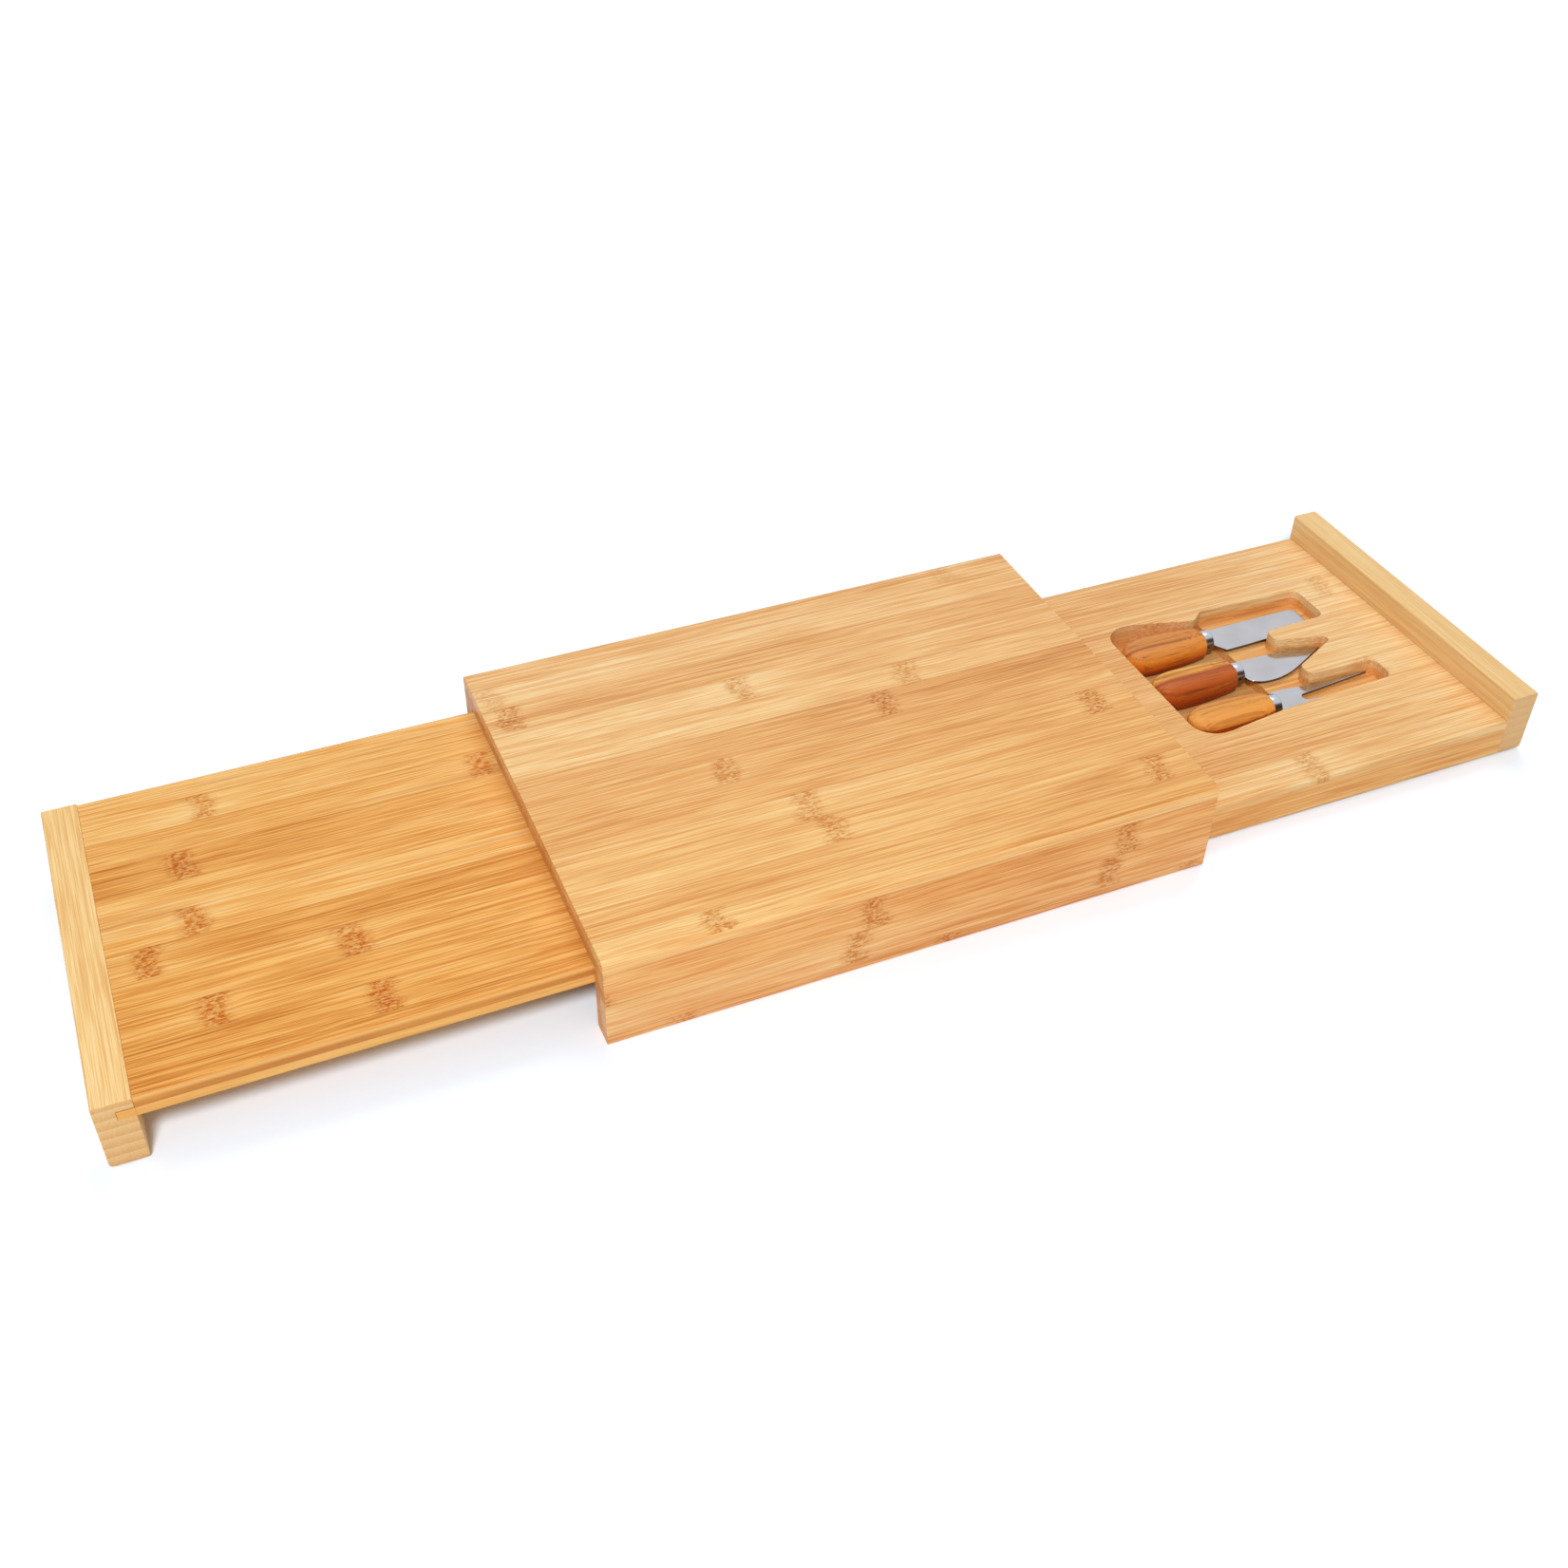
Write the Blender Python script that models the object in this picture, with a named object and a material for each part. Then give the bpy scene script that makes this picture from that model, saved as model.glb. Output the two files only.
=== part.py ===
# Bamboo cheese board with a plain tray sliding out to the left
# and a cutlery drawer with three cheese knives sliding out to the right.
# Metres, +Z up, +X towards the drawer, origin on the table under the block's centre.

import math

import bmesh
import bpy
import numpy as np
from mathutils import Vector

# Block, the fixed casing of the board
block_length = 0.340
block_width = 0.243
block_height = 0.055
top_board_thickness = 0.0135
side_rail_thickness = 0.0145
long_edge_round = 0.003
foot_edge_round = 0.0012
glue_gap = 0.0003

# Lock mitre between top board and side rails, as shares of the corner block
mitre_path_shares = [(0.28, 0.28), (0.50, 0.23), (0.45, 0.62), (0.62, 0.62)]
corner_split_degrees = 45
corner_seam_degrees = 3

# Sliding tray and drawer
foot_lift = 0.0015
tray_play = 0.0005
end_rail_round = 0.0018
side_play = 0.0006
tail_play = 0.001
slide_travel = 0.230

# Tray
tray_thickness = 0.0115
tray_rail_width = 0.018
tray_edge_round = 0.0026
tongue_length = 0.0082
tongue_end_gap = 0.0008

# Drawer
drawer_rail_width = 0.0165
drawer_edge_round = 0.0022
dowel_diameter = 0.008
dowel_depth_in_drawer = 0.018
dowel_depth_in_rail = 0.010
dowel_inset = 0.045

# Runner strips between the two levels
runner_width = 0.012
runner_height = 0.0044
runner_play = 0.0003

# Guide pins at the tails, running in stopped grooves of the side rails
pin_diameter = 0.005
pin_depth_in_slider = 0.015
pin_reach = 0.0045
pin_tail_inset = 0.012
pin_slack = 0.0005
groove_floor_play = 0.0005
groove_round_share = 0.98

# Knives, from the butt of the handle to the blade
handle_length = 0.0548
handle_width = 0.023
handle_gap = 0.0123
handle_proud = 0.0008
handle_butt_round = 0.017
handle_neck_width = 0.0184
handle_neck_thickness_share = 0.93
handle_neck_round = 0.0022
handle_square_share = 0.48
handle_neck_square_share = 0.33
handle_butt_flat_share = 0.3
handle_butt_start_share = 0.1
handle_taper_power = 2.2
butt_rings = 7
body_rings = 5
neck_rings = 4
handle_sides = 24
handle_smooth_degrees = 40
ferrule_length = 0.0057
ferrule_share = 0.834
ferrule_wall = 0.0009
ferrule_lip_round = 0.0006
ferrule_sides = 32
ferrule_smooth_degrees = 35
weld_distance = 0.00001
fit_gap = 0.0003
blade_thickness = 0.0014
tang_share = 0.41
tang_length = 0.022
knife_row_shift = 0.0005
knife_lift_gap = 0.0003
slicer_butt_gap = 0.0023
heart_butt_gap = 0.0008
fork_butt_gap = 0.0029

# Slicer with a straight edge
slicer_reach = 0.0695
slicer_back = 0.0090
slicer_edge = 0.0130
slicer_edge_rise = 0.0013
slicer_heel = 0.0055
slicer_heel_start = 0.0060
slicer_tip_round = 0.0045
slicer_edge_tip_round = 0.002

# Heart knife with a pointed tip
heart_reach = 0.0618
heart_back = 0.0096
heart_belly = 0.0137
heart_tip_rise = 0.0036
heart_heel = 0.0015
heart_heel_drop = 0.0083
heart_heel_bend = 0.0055
heart_lowest = 0.0155
heart_belly_bend = 0.0270
heart_edge_turn = 0.0380
heart_edge_rise = 0.0057
heart_back_corner = 0.0035
heart_back_drop = 0.0035
heart_back_bend = 0.0365

# Fork
fork_reach = 0.0708
fork_base_half_width = 0.0114
fork_half_width = 0.0084
fork_shoulder = 0.0045
fork_shoulder_drop = 0.0036
fork_taper_start = 0.0130
fork_taper_end = 0.0350
fork_notch_start = 0.0193
fork_notch_width = 0.0064
prong_tip_width = 0.0010
fork_notch_steps = 8

# Recess of the drawer, its corners measured from the knives that lie in it
pocket_step_gap = 0.0050
pocket_floor = 0.0060
slot_floor_gap = 0.00185
recess_tip_gap = 0.0040
recess_to_rail = 0.0332
pocket_front_gap = 0.0063
pocket_back_gap = 0.0119
pocket_round = 0.0145
pocket_back_round = 0.008
pocket_shoulder = 0.0200
neck_from_step = 0.0090
neck_front_gap = 0.0010
neck_round = 0.030
slot_front_gap = 0.0006
slot_end_round = 0.0055
slot_round = 0.0030
fork_land_gap = 0.0017
fork_end_gap = 0.0006
slicer_land_gap = 0.00005
slicer_end_gap = 0.0005
slicer_back_end_gap = 0.0085
slicer_back_start_gap = 0.0108
pocket_back_neck_gap = 0.0038
land_from_step = 0.0244
land_lag = 0.0012
front_land_round = 0.0038
back_land_round = 0.0045
heart_land_belly_gap = 0.0020
heart_land_back_gap = 0.0018
heart_tip_gap = 0.0024
heart_end_half_width = 0.0021
heart_end_round = 0.0019
heart_end_drop = 0.0015

arc_steps = 5
curve_steps = 7
bar_sides = 20
overrun = 0.004

# Worked out from the sizes above
half_length = block_length / 2
half_width = block_width / 2
bay_height = block_height - top_board_thickness
rail_top = bay_height - 2 * glue_gap
slider_width = block_width - 2 * side_rail_thickness - 2 * side_play
tray_top = bay_height - tray_play
end_rail_height = tray_top - foot_lift
tray_bottom = tray_top - tray_thickness
drawer_top = tray_bottom - runner_height - 2 * runner_play
drawer_thickness = drawer_top - foot_lift
tray_length = block_length - drawer_rail_width - tail_play
drawer_length = block_length - tray_rail_width - tail_play
pocket_depth = drawer_thickness - pocket_floor
handle_thickness = pocket_depth - knife_lift_gap + handle_proud
ferrule_diameter = handle_thickness * ferrule_share
tang_width = ferrule_diameter * tang_share
knife_pitch = handle_width + handle_gap
knife_axis_drop = pocket_depth - knife_lift_gap - handle_thickness / 2
slot_depth = knife_axis_drop + blade_thickness / 2 + slot_floor_gap
knife_grip_length = handle_length + ferrule_length + 2 * fit_gap
pocket_length = fork_butt_gap + knife_grip_length + pocket_step_gap
recess_length = fork_butt_gap + knife_grip_length + fork_reach + recess_tip_gap
heart_slot_end = heart_butt_gap + knife_grip_length + heart_reach + heart_tip_gap


def clear_scene():
    for item in list(bpy.data.objects):
        bpy.data.objects.remove(item, do_unlink=True)


def make_material(name, colour, roughness, metallic):
    material = bpy.data.materials.new(name)
    material.use_nodes = True
    shader = material.node_tree.nodes["Principled BSDF"]
    shader.inputs["Base Color"].default_value = (*colour, 1.0)
    shader.inputs["Roughness"].default_value = roughness
    shader.inputs["Metallic"].default_value = metallic
    return material


def add_empty(name, location, parent=None):
    empty = bpy.data.objects.new(name, None)
    bpy.context.collection.objects.link(empty)
    empty.parent = parent
    empty.location = location
    return empty


def add_object(name, bm, material=None, parent=None, location=(0, 0, 0)):
    bmesh.ops.recalc_face_normals(bm, faces=bm.faces)
    mesh = bpy.data.meshes.new(name)
    bm.to_mesh(mesh)
    bm.free()
    item = bpy.data.objects.new(name, mesh)
    bpy.context.collection.objects.link(item)
    item.parent = parent
    item.location = location
    if material is not None:
        mesh.materials.append(material)
    return item


def rounded_outline(corners, steps=arc_steps):
    """Corner points (x, y, radius) in order, each radius turned into a tangent arc."""
    points = []
    count = len(corners)
    for index in range(count):
        x, y, radius = corners[index]
        here = Vector((x, y))
        before = Vector(corners[index - 1][:2])
        after = Vector(corners[(index + 1) % count][:2])
        if radius <= 0:
            points.append(here)
            continue
        to_before = (before - here).normalized()
        to_after = (after - here).normalized()
        half_angle = to_before.angle(to_after) / 2
        run = radius / math.tan(half_angle)
        middle = (to_before + to_after).normalized()
        centre = here + middle * (radius / math.sin(half_angle))
        first = here + to_before * run - centre
        last = here + to_after * run - centre
        sweep = first.angle_signed(last)
        for step in range(steps + 1):
            turn = -sweep * step / steps
            cosine = math.cos(turn)
            sine = math.sin(turn)
            spoke = Vector((first.x * cosine - first.y * sine, first.x * sine + first.y * cosine))
            points.append(centre + spoke)
    return points


def prism(outline, axis, start, end):
    """An outline extruded along one axis: (y, z) along X, (x, z) along Y, (x, y) along Z."""
    bm = bmesh.new()
    vertices = []
    for a, b in outline:
        place = {"X": (start, a, b), "Y": (a, start, b), "Z": (a, b, start)}[axis]
        vertices.append(bm.verts.new(place))
    face = bm.faces.new(vertices)
    grown = bmesh.ops.extrude_face_region(bm, geom=[face])
    moved = [part for part in grown["geom"] if isinstance(part, bmesh.types.BMVert)]
    shift = {"X": (end - start, 0, 0), "Y": (0, end - start, 0), "Z": (0, 0, end - start)}[axis]
    bmesh.ops.translate(bm, verts=moved, vec=shift)
    return bm


def box(low, high):
    outline = [(low[0], low[1]), (high[0], low[1]), (high[0], high[1]), (low[0], high[1])]
    return prism(outline, "Z", low[2], high[2])


def round_bar(centre, axis, start, end, radius, sides=bar_sides):
    """A cylinder along one axis, its outline worked out as a circle."""
    outline = []
    for side in range(sides):
        angle = 2 * math.pi * side / sides
        a = centre[0] + radius * math.cos(angle)
        b = centre[1] + radius * math.sin(angle)
        outline.append((a, b))
    return prism(outline, axis, start, end)


def cut(target, bm, name):
    """Cut a shape out of an object; the cutter stays in the file as a hidden guide."""
    cutter = add_object(name, bm, parent=target.parent, location=target.location)
    cutter.hide_render = True
    cutter.display_type = "WIRE"
    modifier = target.modifiers.new(name, "BOOLEAN")
    modifier.operation = "DIFFERENCE"
    modifier.solver = "EXACT"
    modifier.object = cutter
    return cutter


def mirror_y(points):
    return [(-y, z) for y, z in reversed(points)]


def mitre_points(shift):
    """The lock mitre at the front corner as (y, z), moved off the seam by the shift."""
    points = []
    for a_share, b_share in mitre_path_shares:
        inward = a_share * side_rail_thickness - shift
        down = b_share * top_board_thickness + shift
        points.append((-half_width + inward, block_height - down))
    return points


def corner_arc(first_degrees, last_degrees):
    """Points on the rounded long edge, 0 degrees at the side face and 90 at the top."""
    centre_y = -half_width + long_edge_round
    centre_z = block_height - long_edge_round
    points = []
    for step in range(arc_steps + 1):
        angle = math.radians(first_degrees + (last_degrees - first_degrees) * step / arc_steps)
        y = centre_y - long_edge_round * math.cos(angle)
        z = centre_z + long_edge_round * math.sin(angle)
        points.append((y, z))
    return points


def make_top_board(bamboo):
    underside_y = -half_width + side_rail_thickness
    front = corner_arc(90, corner_split_degrees)
    front += mitre_points(0.0)
    front.append((underside_y, bay_height))
    outline = front + mirror_y(front)
    return add_object("top_board", prism(outline, "X", -half_length, half_length), bamboo)


def pin_groove(low_x, high_x, centre_z):
    """A stopped groove with round ends in the inner face of the front side rail."""
    radius = pin_diameter / 2 + pin_slack
    inner_face = -half_width + side_rail_thickness
    floor = inner_face - pin_reach + side_play - groove_floor_play
    end_round = radius * groove_round_share
    corners = [
        (low_x - radius, centre_z - radius, end_round),
        (high_x + radius, centre_z - radius, end_round),
        (high_x + radius, centre_z + radius, end_round),
        (low_x - radius, centre_z + radius, end_round),
    ]
    return prism(rounded_outline(corners), "Y", floor, inner_face + overrun)


def pin_path(tail_open, tail_shut):
    """Lowest and highest pin centre along X between the open and the shut slider."""
    return min(tail_open, tail_shut), max(tail_open, tail_shut)


def make_side_rail(name, side, bamboo):
    """The front rail is side -1 and the back rail, its mirror image, is side +1."""
    shift = glue_gap * math.sqrt(0.5)
    inner = -half_width + side_rail_thickness
    foot = rounded_outline(
        [
            (-half_width, 0, foot_edge_round),
            (inner, 0, foot_edge_round),
            (inner, rail_top, 0),
            (-half_width, rail_top, 0),
        ]
    )
    outline = [tuple(point) for point in foot[: 2 * (arc_steps + 1)]]
    outline.append((inner, rail_top))
    outline += list(reversed(mitre_points(shift)))
    outline += list(reversed(corner_arc(0, corner_split_degrees - corner_seam_degrees)))
    if side > 0:
        outline = mirror_y(outline)
    rail = add_object(name, prism(outline, "X", -half_length, half_length), bamboo)
    paths = {"tray": tray_pin_path(), "drawer": drawer_pin_path()}
    heights = {"tray": tray_pin_height(), "drawer": drawer_pin_height()}
    for label, (low_x, high_x) in paths.items():
        groove = pin_groove(low_x, high_x, heights[label])
        if side > 0:
            bmesh.ops.scale(groove, vec=(1, -1, 1), verts=groove.verts)
        cut(rail, groove, name + "_" + label + "_groove")
    return rail


def tray_pin_height():
    return tray_bottom + tray_thickness / 2


def drawer_pin_height():
    return foot_lift + drawer_thickness / 2


def tray_pin_path():
    shut = -half_length + tray_length - pin_tail_inset
    return pin_path(shut - slide_travel, shut)


def drawer_pin_path():
    shut = half_length - drawer_length + pin_tail_inset
    return pin_path(shut, shut + slide_travel)


def make_runner(name, side, bamboo):
    low_x = -half_length + tray_rail_width + tail_play
    high_x = half_length - drawer_rail_width - tail_play
    outer = half_width - side_rail_thickness - glue_gap
    low_y, high_y = sorted((side * outer, side * (outer - runner_width)))
    low_z = drawer_top + runner_play
    high_z = tray_bottom - runner_play
    return add_object(name, box((low_x, low_y, low_z), (high_x, high_y, high_z)), bamboo)


def slab_outline(low_z, high_z, edge_round):
    """Cross-section of a sliding panel, its top long edges rounded."""
    half = slider_width / 2
    corners = [
        (-half, low_z, 0),
        (half, low_z, 0),
        (half, high_z, edge_round),
        (-half, high_z, edge_round),
    ]
    return rounded_outline(corners)


def add_pins(body_name, slider, tail_x, height, parent, bamboo):
    """Two bamboo pins in the tail's edges and the blind holes that hold them."""
    half = slider_width / 2
    for label, side in (("front", -1), ("back", 1)):
        inner_end = side * (half - pin_depth_in_slider)
        outer_end = side * (half + overrun)
        place = (tail_x, height)
        hole = round_bar(place, "Y", inner_end, outer_end, pin_diameter / 2 + fit_gap)
        cut(slider, hole, body_name + "_" + label + "_pin_hole")
        pin_start = inner_end + side * fit_gap
        pin_end = side * (half + pin_reach - side_play)
        pin = round_bar(place, "Y", pin_start, pin_end, pin_diameter / 2)
        add_object(body_name + "_" + label + "_pin", pin, bamboo, parent)


def make_tray(bamboo, pale_bamboo):
    """Local X starts at the tray's outer face and runs inward to its tail."""
    body = add_empty("tray_slide_line", (-half_length - slide_travel, 0, tray_top))
    half = slider_width / 2
    tongue_top = -tray_thickness / 2
    groove_x = tray_rail_width - tongue_length - tongue_end_gap

    slab = slab_outline(-tray_thickness, 0, tray_edge_round)
    tongue_x = tray_rail_width - tongue_length
    panel = add_object("tray_panel", prism(slab, "X", tongue_x, tray_length), bamboo, body)
    low = (0, -half - overrun, tongue_top)
    high = (tray_rail_width + glue_gap, half + overrun, overrun)
    cut(panel, box(low, high), "tray_tongue_rebate")

    rail_corners = [
        (0, -end_rail_height, end_rail_round),
        (tray_rail_width, -end_rail_height, end_rail_round),
        (tray_rail_width, -tray_thickness - glue_gap, 0),
        (groove_x, -tray_thickness - glue_gap, 0),
        (groove_x, tongue_top + glue_gap, 0),
        (tray_rail_width, tongue_top + glue_gap, 0),
        (tray_rail_width, 0, 0),
        (0, 0, end_rail_round / 2),
    ]
    rail = prism(rounded_outline(rail_corners), "Y", -half, half)
    add_object("tray_end_rail", rail, pale_bamboo, body)
    add_pins("tray", panel, tray_length - pin_tail_inset, -tray_thickness / 2, body, bamboo)
    return body


def knife_rows():
    """Y of the front, middle and back knife's axis in the drawer."""
    return [knife_row_shift + knife_pitch * row for row in (-1, 0, 1)]


def recess_corners():
    """The recess seen from above, X from the pocket's blind end, as corner points with radii."""
    front, middle, back = knife_rows()
    half_handle = handle_width / 2
    neck_x = pocket_length - neck_from_step
    front_land_x = pocket_length + land_from_step
    back_land_x = front_land_x + land_lag
    pocket_front = front - half_handle - pocket_front_gap
    pocket_back = back + half_handle + pocket_back_gap
    neck_front = front - fork_base_half_width - neck_front_gap
    neck_back = back + slicer_back + pocket_back_neck_gap
    heart_mid = middle + heart_tip_rise - heart_end_drop
    return [
        (0, pocket_front, pocket_round),
        (pocket_shoulder, pocket_front, pocket_round),
        (neck_x, neck_front, neck_round),
        (recess_length, front - fork_half_width - slot_front_gap, slot_end_round),
        (recess_length, front + fork_half_width + fork_end_gap, slot_end_round),
        (front_land_x, front + fork_half_width + fork_land_gap, front_land_round),
        (front_land_x, middle - heart_belly - heart_land_belly_gap, front_land_round),
        (heart_slot_end, heart_mid - heart_end_half_width, heart_end_round),
        (heart_slot_end, heart_mid + heart_end_half_width, heart_end_round),
        (back_land_x, middle + heart_back + heart_land_back_gap, back_land_round),
        (back_land_x, back - slicer_edge - slicer_land_gap, back_land_round),
        (recess_length, back - slicer_edge + slicer_end_gap, slot_end_round),
        (recess_length, back + slicer_back + slicer_back_end_gap, slot_end_round),
        (pocket_length, back + slicer_back + slicer_back_start_gap, slot_round),
        (neck_x, neck_back, slot_round),
        (pocket_shoulder, pocket_back, pocket_back_round),
        (0, pocket_back, pocket_round),
    ]


def recess_cutter(left_x, surface_z):
    """One stepped cutter: slots to the slot depth, the handle pocket deeper, split at the step."""
    outline = rounded_outline(recess_corners())
    step_x = pocket_length
    count = len(outline)
    first = next(i for i in range(count) if outline[i - 1].x < step_x <= outline[i].x)
    last = next(i for i in range(count) if outline[i - 1].x >= step_x > outline[i].x)

    def crossing(i):
        before = outline[i - 1]
        after = outline[i]
        share = (step_x - before.x) / (after.x - before.x)
        return Vector((step_x, before.y + (after.y - before.y) * share))

    front_cross = crossing(first)
    back_cross = crossing(last)
    slots = [front_cross] + [outline[i] for i in range(first, last)] + [back_cross]
    pocket = [back_cross] + outline[last:] + outline[:first] + [front_cross]
    top_z = surface_z + overrun
    slot_z = surface_z - slot_depth
    pocket_z = surface_z - pocket_depth
    bm = bmesh.new()

    def ring(points, z):
        return [bm.verts.new((left_x + point.x, point.y, z)) for point in points]

    slot_top = ring(slots, top_z)
    pocket_top = [slot_top[-1]] + ring(pocket[1:-1], top_z) + [slot_top[0]]
    slot_low = ring(slots, slot_z)
    pocket_low = ring(pocket, pocket_z)
    bm.faces.new(slot_top[:-1] + pocket_top[:-1])
    bm.faces.new(list(reversed(slot_low)))
    bm.faces.new(list(reversed(pocket_low)))
    for i in range(len(slots) - 1):
        bm.faces.new((slot_top[i + 1], slot_top[i], slot_low[i], slot_low[i + 1]))
    for i in range(len(pocket) - 1):
        wall = [pocket_top[i + 1], pocket_top[i]]
        if i == 0:
            wall.append(slot_low[-1])
        wall += [pocket_low[i], pocket_low[i + 1]]
        if i == len(pocket) - 2:
            wall.append(slot_low[0])
        bm.faces.new(wall)
    bm.faces.new((slot_low[0], slot_low[-1], pocket_low[0], pocket_low[-1]))
    return bm


def make_drawer(bamboo, pale_bamboo):
    """Local X is zero at the drawer's outer face and negative inward to its tail."""
    body = add_empty("drawer_slide_line", (half_length + slide_travel, 0, drawer_top))
    half = slider_width / 2
    panel_end = -drawer_rail_width - glue_gap
    recess_left = panel_end - recess_to_rail - recess_length

    slab = slab_outline(-drawer_thickness, 0, drawer_edge_round)
    panel = add_object("drawer_panel", prism(slab, "X", -drawer_length, panel_end), bamboo, body)
    cut(panel, recess_cutter(recess_left, 0), "knife_recess")

    rail_corners = [
        (-drawer_rail_width, -drawer_thickness, 0),
        (0, -drawer_thickness, end_rail_round),
        (0, end_rail_height - drawer_thickness, end_rail_round / 2),
        (-drawer_rail_width, end_rail_height - drawer_thickness, end_rail_round / 2),
    ]
    bar = prism(rounded_outline(rail_corners), "Y", -half, half)
    rail = add_object("drawer_end_rail", bar, pale_bamboo, body)

    dowel_z = -drawer_thickness / 2
    hole_start = panel_end - dowel_depth_in_drawer
    hole_end = -drawer_rail_width + dowel_depth_in_rail
    hole_radius = dowel_diameter / 2 + fit_gap
    for label, side in (("front", -1), ("back", 1)):
        place = (side * (half - dowel_inset), dowel_z)
        in_drawer = round_bar(place, "X", hole_start, panel_end + overrun, hole_radius)
        cut(panel, in_drawer, "drawer_" + label + "_dowel_hole")
        in_rail = round_bar(place, "X", -drawer_rail_width - overrun, hole_end, hole_radius)
        cut(rail, in_rail, "rail_" + label + "_dowel_hole")
        radius = dowel_diameter / 2
        dowel = round_bar(place, "X", hole_start + fit_gap, hole_end - fit_gap, radius)
        add_object("drawer_" + label + "_dowel", dowel, bamboo, body)

    add_pins("drawer", panel, -drawer_length + pin_tail_inset, -drawer_thickness / 2, body, bamboo)
    return body, recess_left


def handle_stations():
    """Distances from the butt: close together round the butt and the neck, even between."""
    quarter = math.pi / 2
    butt_angles = np.linspace(quarter * handle_butt_start_share, quarter, butt_rings)
    butt = handle_butt_round * (1 - np.cos(butt_angles))
    neck_start = handle_length - handle_neck_round
    body = np.linspace(handle_butt_round, neck_start, body_rings)[1:]
    neck = neck_start + handle_neck_round * np.sin(np.linspace(0, quarter, neck_rings))[1:]
    return np.concatenate([butt, body, neck])


def handle_section(distance):
    """Width and height at a station, as a squared ellipse that shrinks towards the neck."""
    bulge = min(distance / handle_butt_round, 1.0)
    end_share = math.sqrt(max(1 - (1 - bulge) ** 2, 0.0))
    neck_start = handle_length - handle_neck_round
    along = max(distance - handle_butt_round, 0.0) / (neck_start - handle_butt_round)
    taper = min(along, 1.0) ** handle_taper_power
    width = handle_width + (handle_neck_width - handle_width) * taper
    neck_thickness = handle_thickness * handle_neck_thickness_share
    height = handle_thickness + (neck_thickness - handle_thickness) * taper
    square = handle_square_share + (handle_neck_square_share - handle_square_share) * taper
    rounding = max(distance - neck_start, 0.0) / handle_neck_round
    drop = 1 - math.sqrt(max(1 - rounding * rounding, 0.0))
    width += (ferrule_diameter - width) * drop
    height += (ferrule_diameter - height) * drop
    power = 1 - square * (1 - drop)
    angles = 2 * np.pi * np.arange(handle_sides) / handle_sides
    cosines = np.cos(angles)
    sines = np.sin(angles)
    half_width_here = width / 2 * end_share
    half_height_here = height / 2 * end_share ** handle_butt_flat_share
    y = half_width_here * np.sign(cosines) * np.abs(cosines) ** power
    z = half_height_here * np.sign(sines) * np.abs(sines) ** power
    return y, z


def skin_rings(rings):
    """Bridge rings of points into one closed body with flat ends."""
    bm = bmesh.new()
    loops = [[bm.verts.new(point) for point in points] for points in rings]
    sides = len(loops[0])
    bm.faces.new(list(reversed(loops[0])))
    bm.faces.new(loops[-1])
    for before, after in zip(loops, loops[1:]):
        for i in range(sides):
            j = (i + 1) % sides
            bm.faces.new((before[i], before[j], after[j], after[i]))
    return bm


def make_handle(name, wood, body):
    """Bulbous handle with a round spigot inside the ferrule and a slot for the tang."""
    spigot_radius = ferrule_diameter / 2 - ferrule_wall - fit_gap
    spigot_end = handle_length + ferrule_length - ferrule_wall - fit_gap
    rings = []
    for distance in handle_stations():
        y, z = handle_section(distance)
        rings.append([(distance, y[i], z[i]) for i in range(len(y))])
    angles = 2 * np.pi * np.arange(handle_sides) / handle_sides
    y = spigot_radius * np.cos(angles)
    z = spigot_radius * np.sin(angles)
    for distance in (handle_length, spigot_end):
        rings.append([(distance, y[i], z[i]) for i in range(handle_sides)])
    handle = add_object(name, skin_rings(rings), wood, body)
    handle.data.shade_smooth()
    handle.data.set_sharp_from_angle(angle=math.radians(handle_smooth_degrees))
    slot_half = tang_width / 2 + fit_gap
    slot_thick = blade_thickness / 2 + fit_gap
    low = (spigot_end - tang_length, -slot_half, -slot_thick)
    cut(handle, box(low, (spigot_end + overrun, slot_half, slot_thick)), name + "_tang_slot")
    return handle


def make_ferrule(name, steel, body):
    """A turned cap: a tube over the spigot and a front wall slotted for the tang."""
    start = handle_length + fit_gap
    end = handle_length + ferrule_length
    outer = ferrule_diameter / 2
    inner = outer - ferrule_wall
    lip = ferrule_lip_round
    profile = [
        (end - ferrule_wall, 0),
        (end - ferrule_wall, inner),
        (start, inner),
        (start, outer - lip),
        (start + lip, outer),
        (end - lip, outer),
        (end, outer - lip),
        (end, 0),
    ]
    bm = bmesh.new()
    vertices = [bm.verts.new((x, r, 0)) for x, r in profile]
    edges = [bm.edges.new(pair) for pair in zip(vertices, vertices[1:])]
    bmesh.ops.spin(
        bm,
        geom=vertices + edges,
        cent=(0, 0, 0),
        axis=(1, 0, 0),
        angle=2 * math.pi,
        steps=ferrule_sides,
        use_merge=True,
    )
    bmesh.ops.remove_doubles(bm, verts=bm.verts, dist=weld_distance)
    ferrule = add_object(name, bm, steel, body)
    ferrule.data.shade_smooth()
    ferrule.data.set_sharp_from_angle(angle=math.radians(ferrule_smooth_degrees))
    slot_half = tang_width / 2 + fit_gap
    slot_thick = blade_thickness / 2 + fit_gap
    low = (end - 2 * ferrule_wall, -slot_half, -slot_thick)
    cut(ferrule, box(low, (end + overrun, slot_half, slot_thick)), name + "_slot")
    return ferrule


def curve_between(start, control, end, steps=curve_steps):
    """Points of a quadratic curve after its start, with the end included."""
    points = []
    for step in range(1, steps + 1):
        t = step / steps
        x = (1 - t) ** 2 * start[0] + 2 * t * (1 - t) * control[0] + t * t * end[0]
        y = (1 - t) ** 2 * start[1] + 2 * t * (1 - t) * control[1] + t * t * end[1]
        points.append((x, y))
    return points


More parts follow.
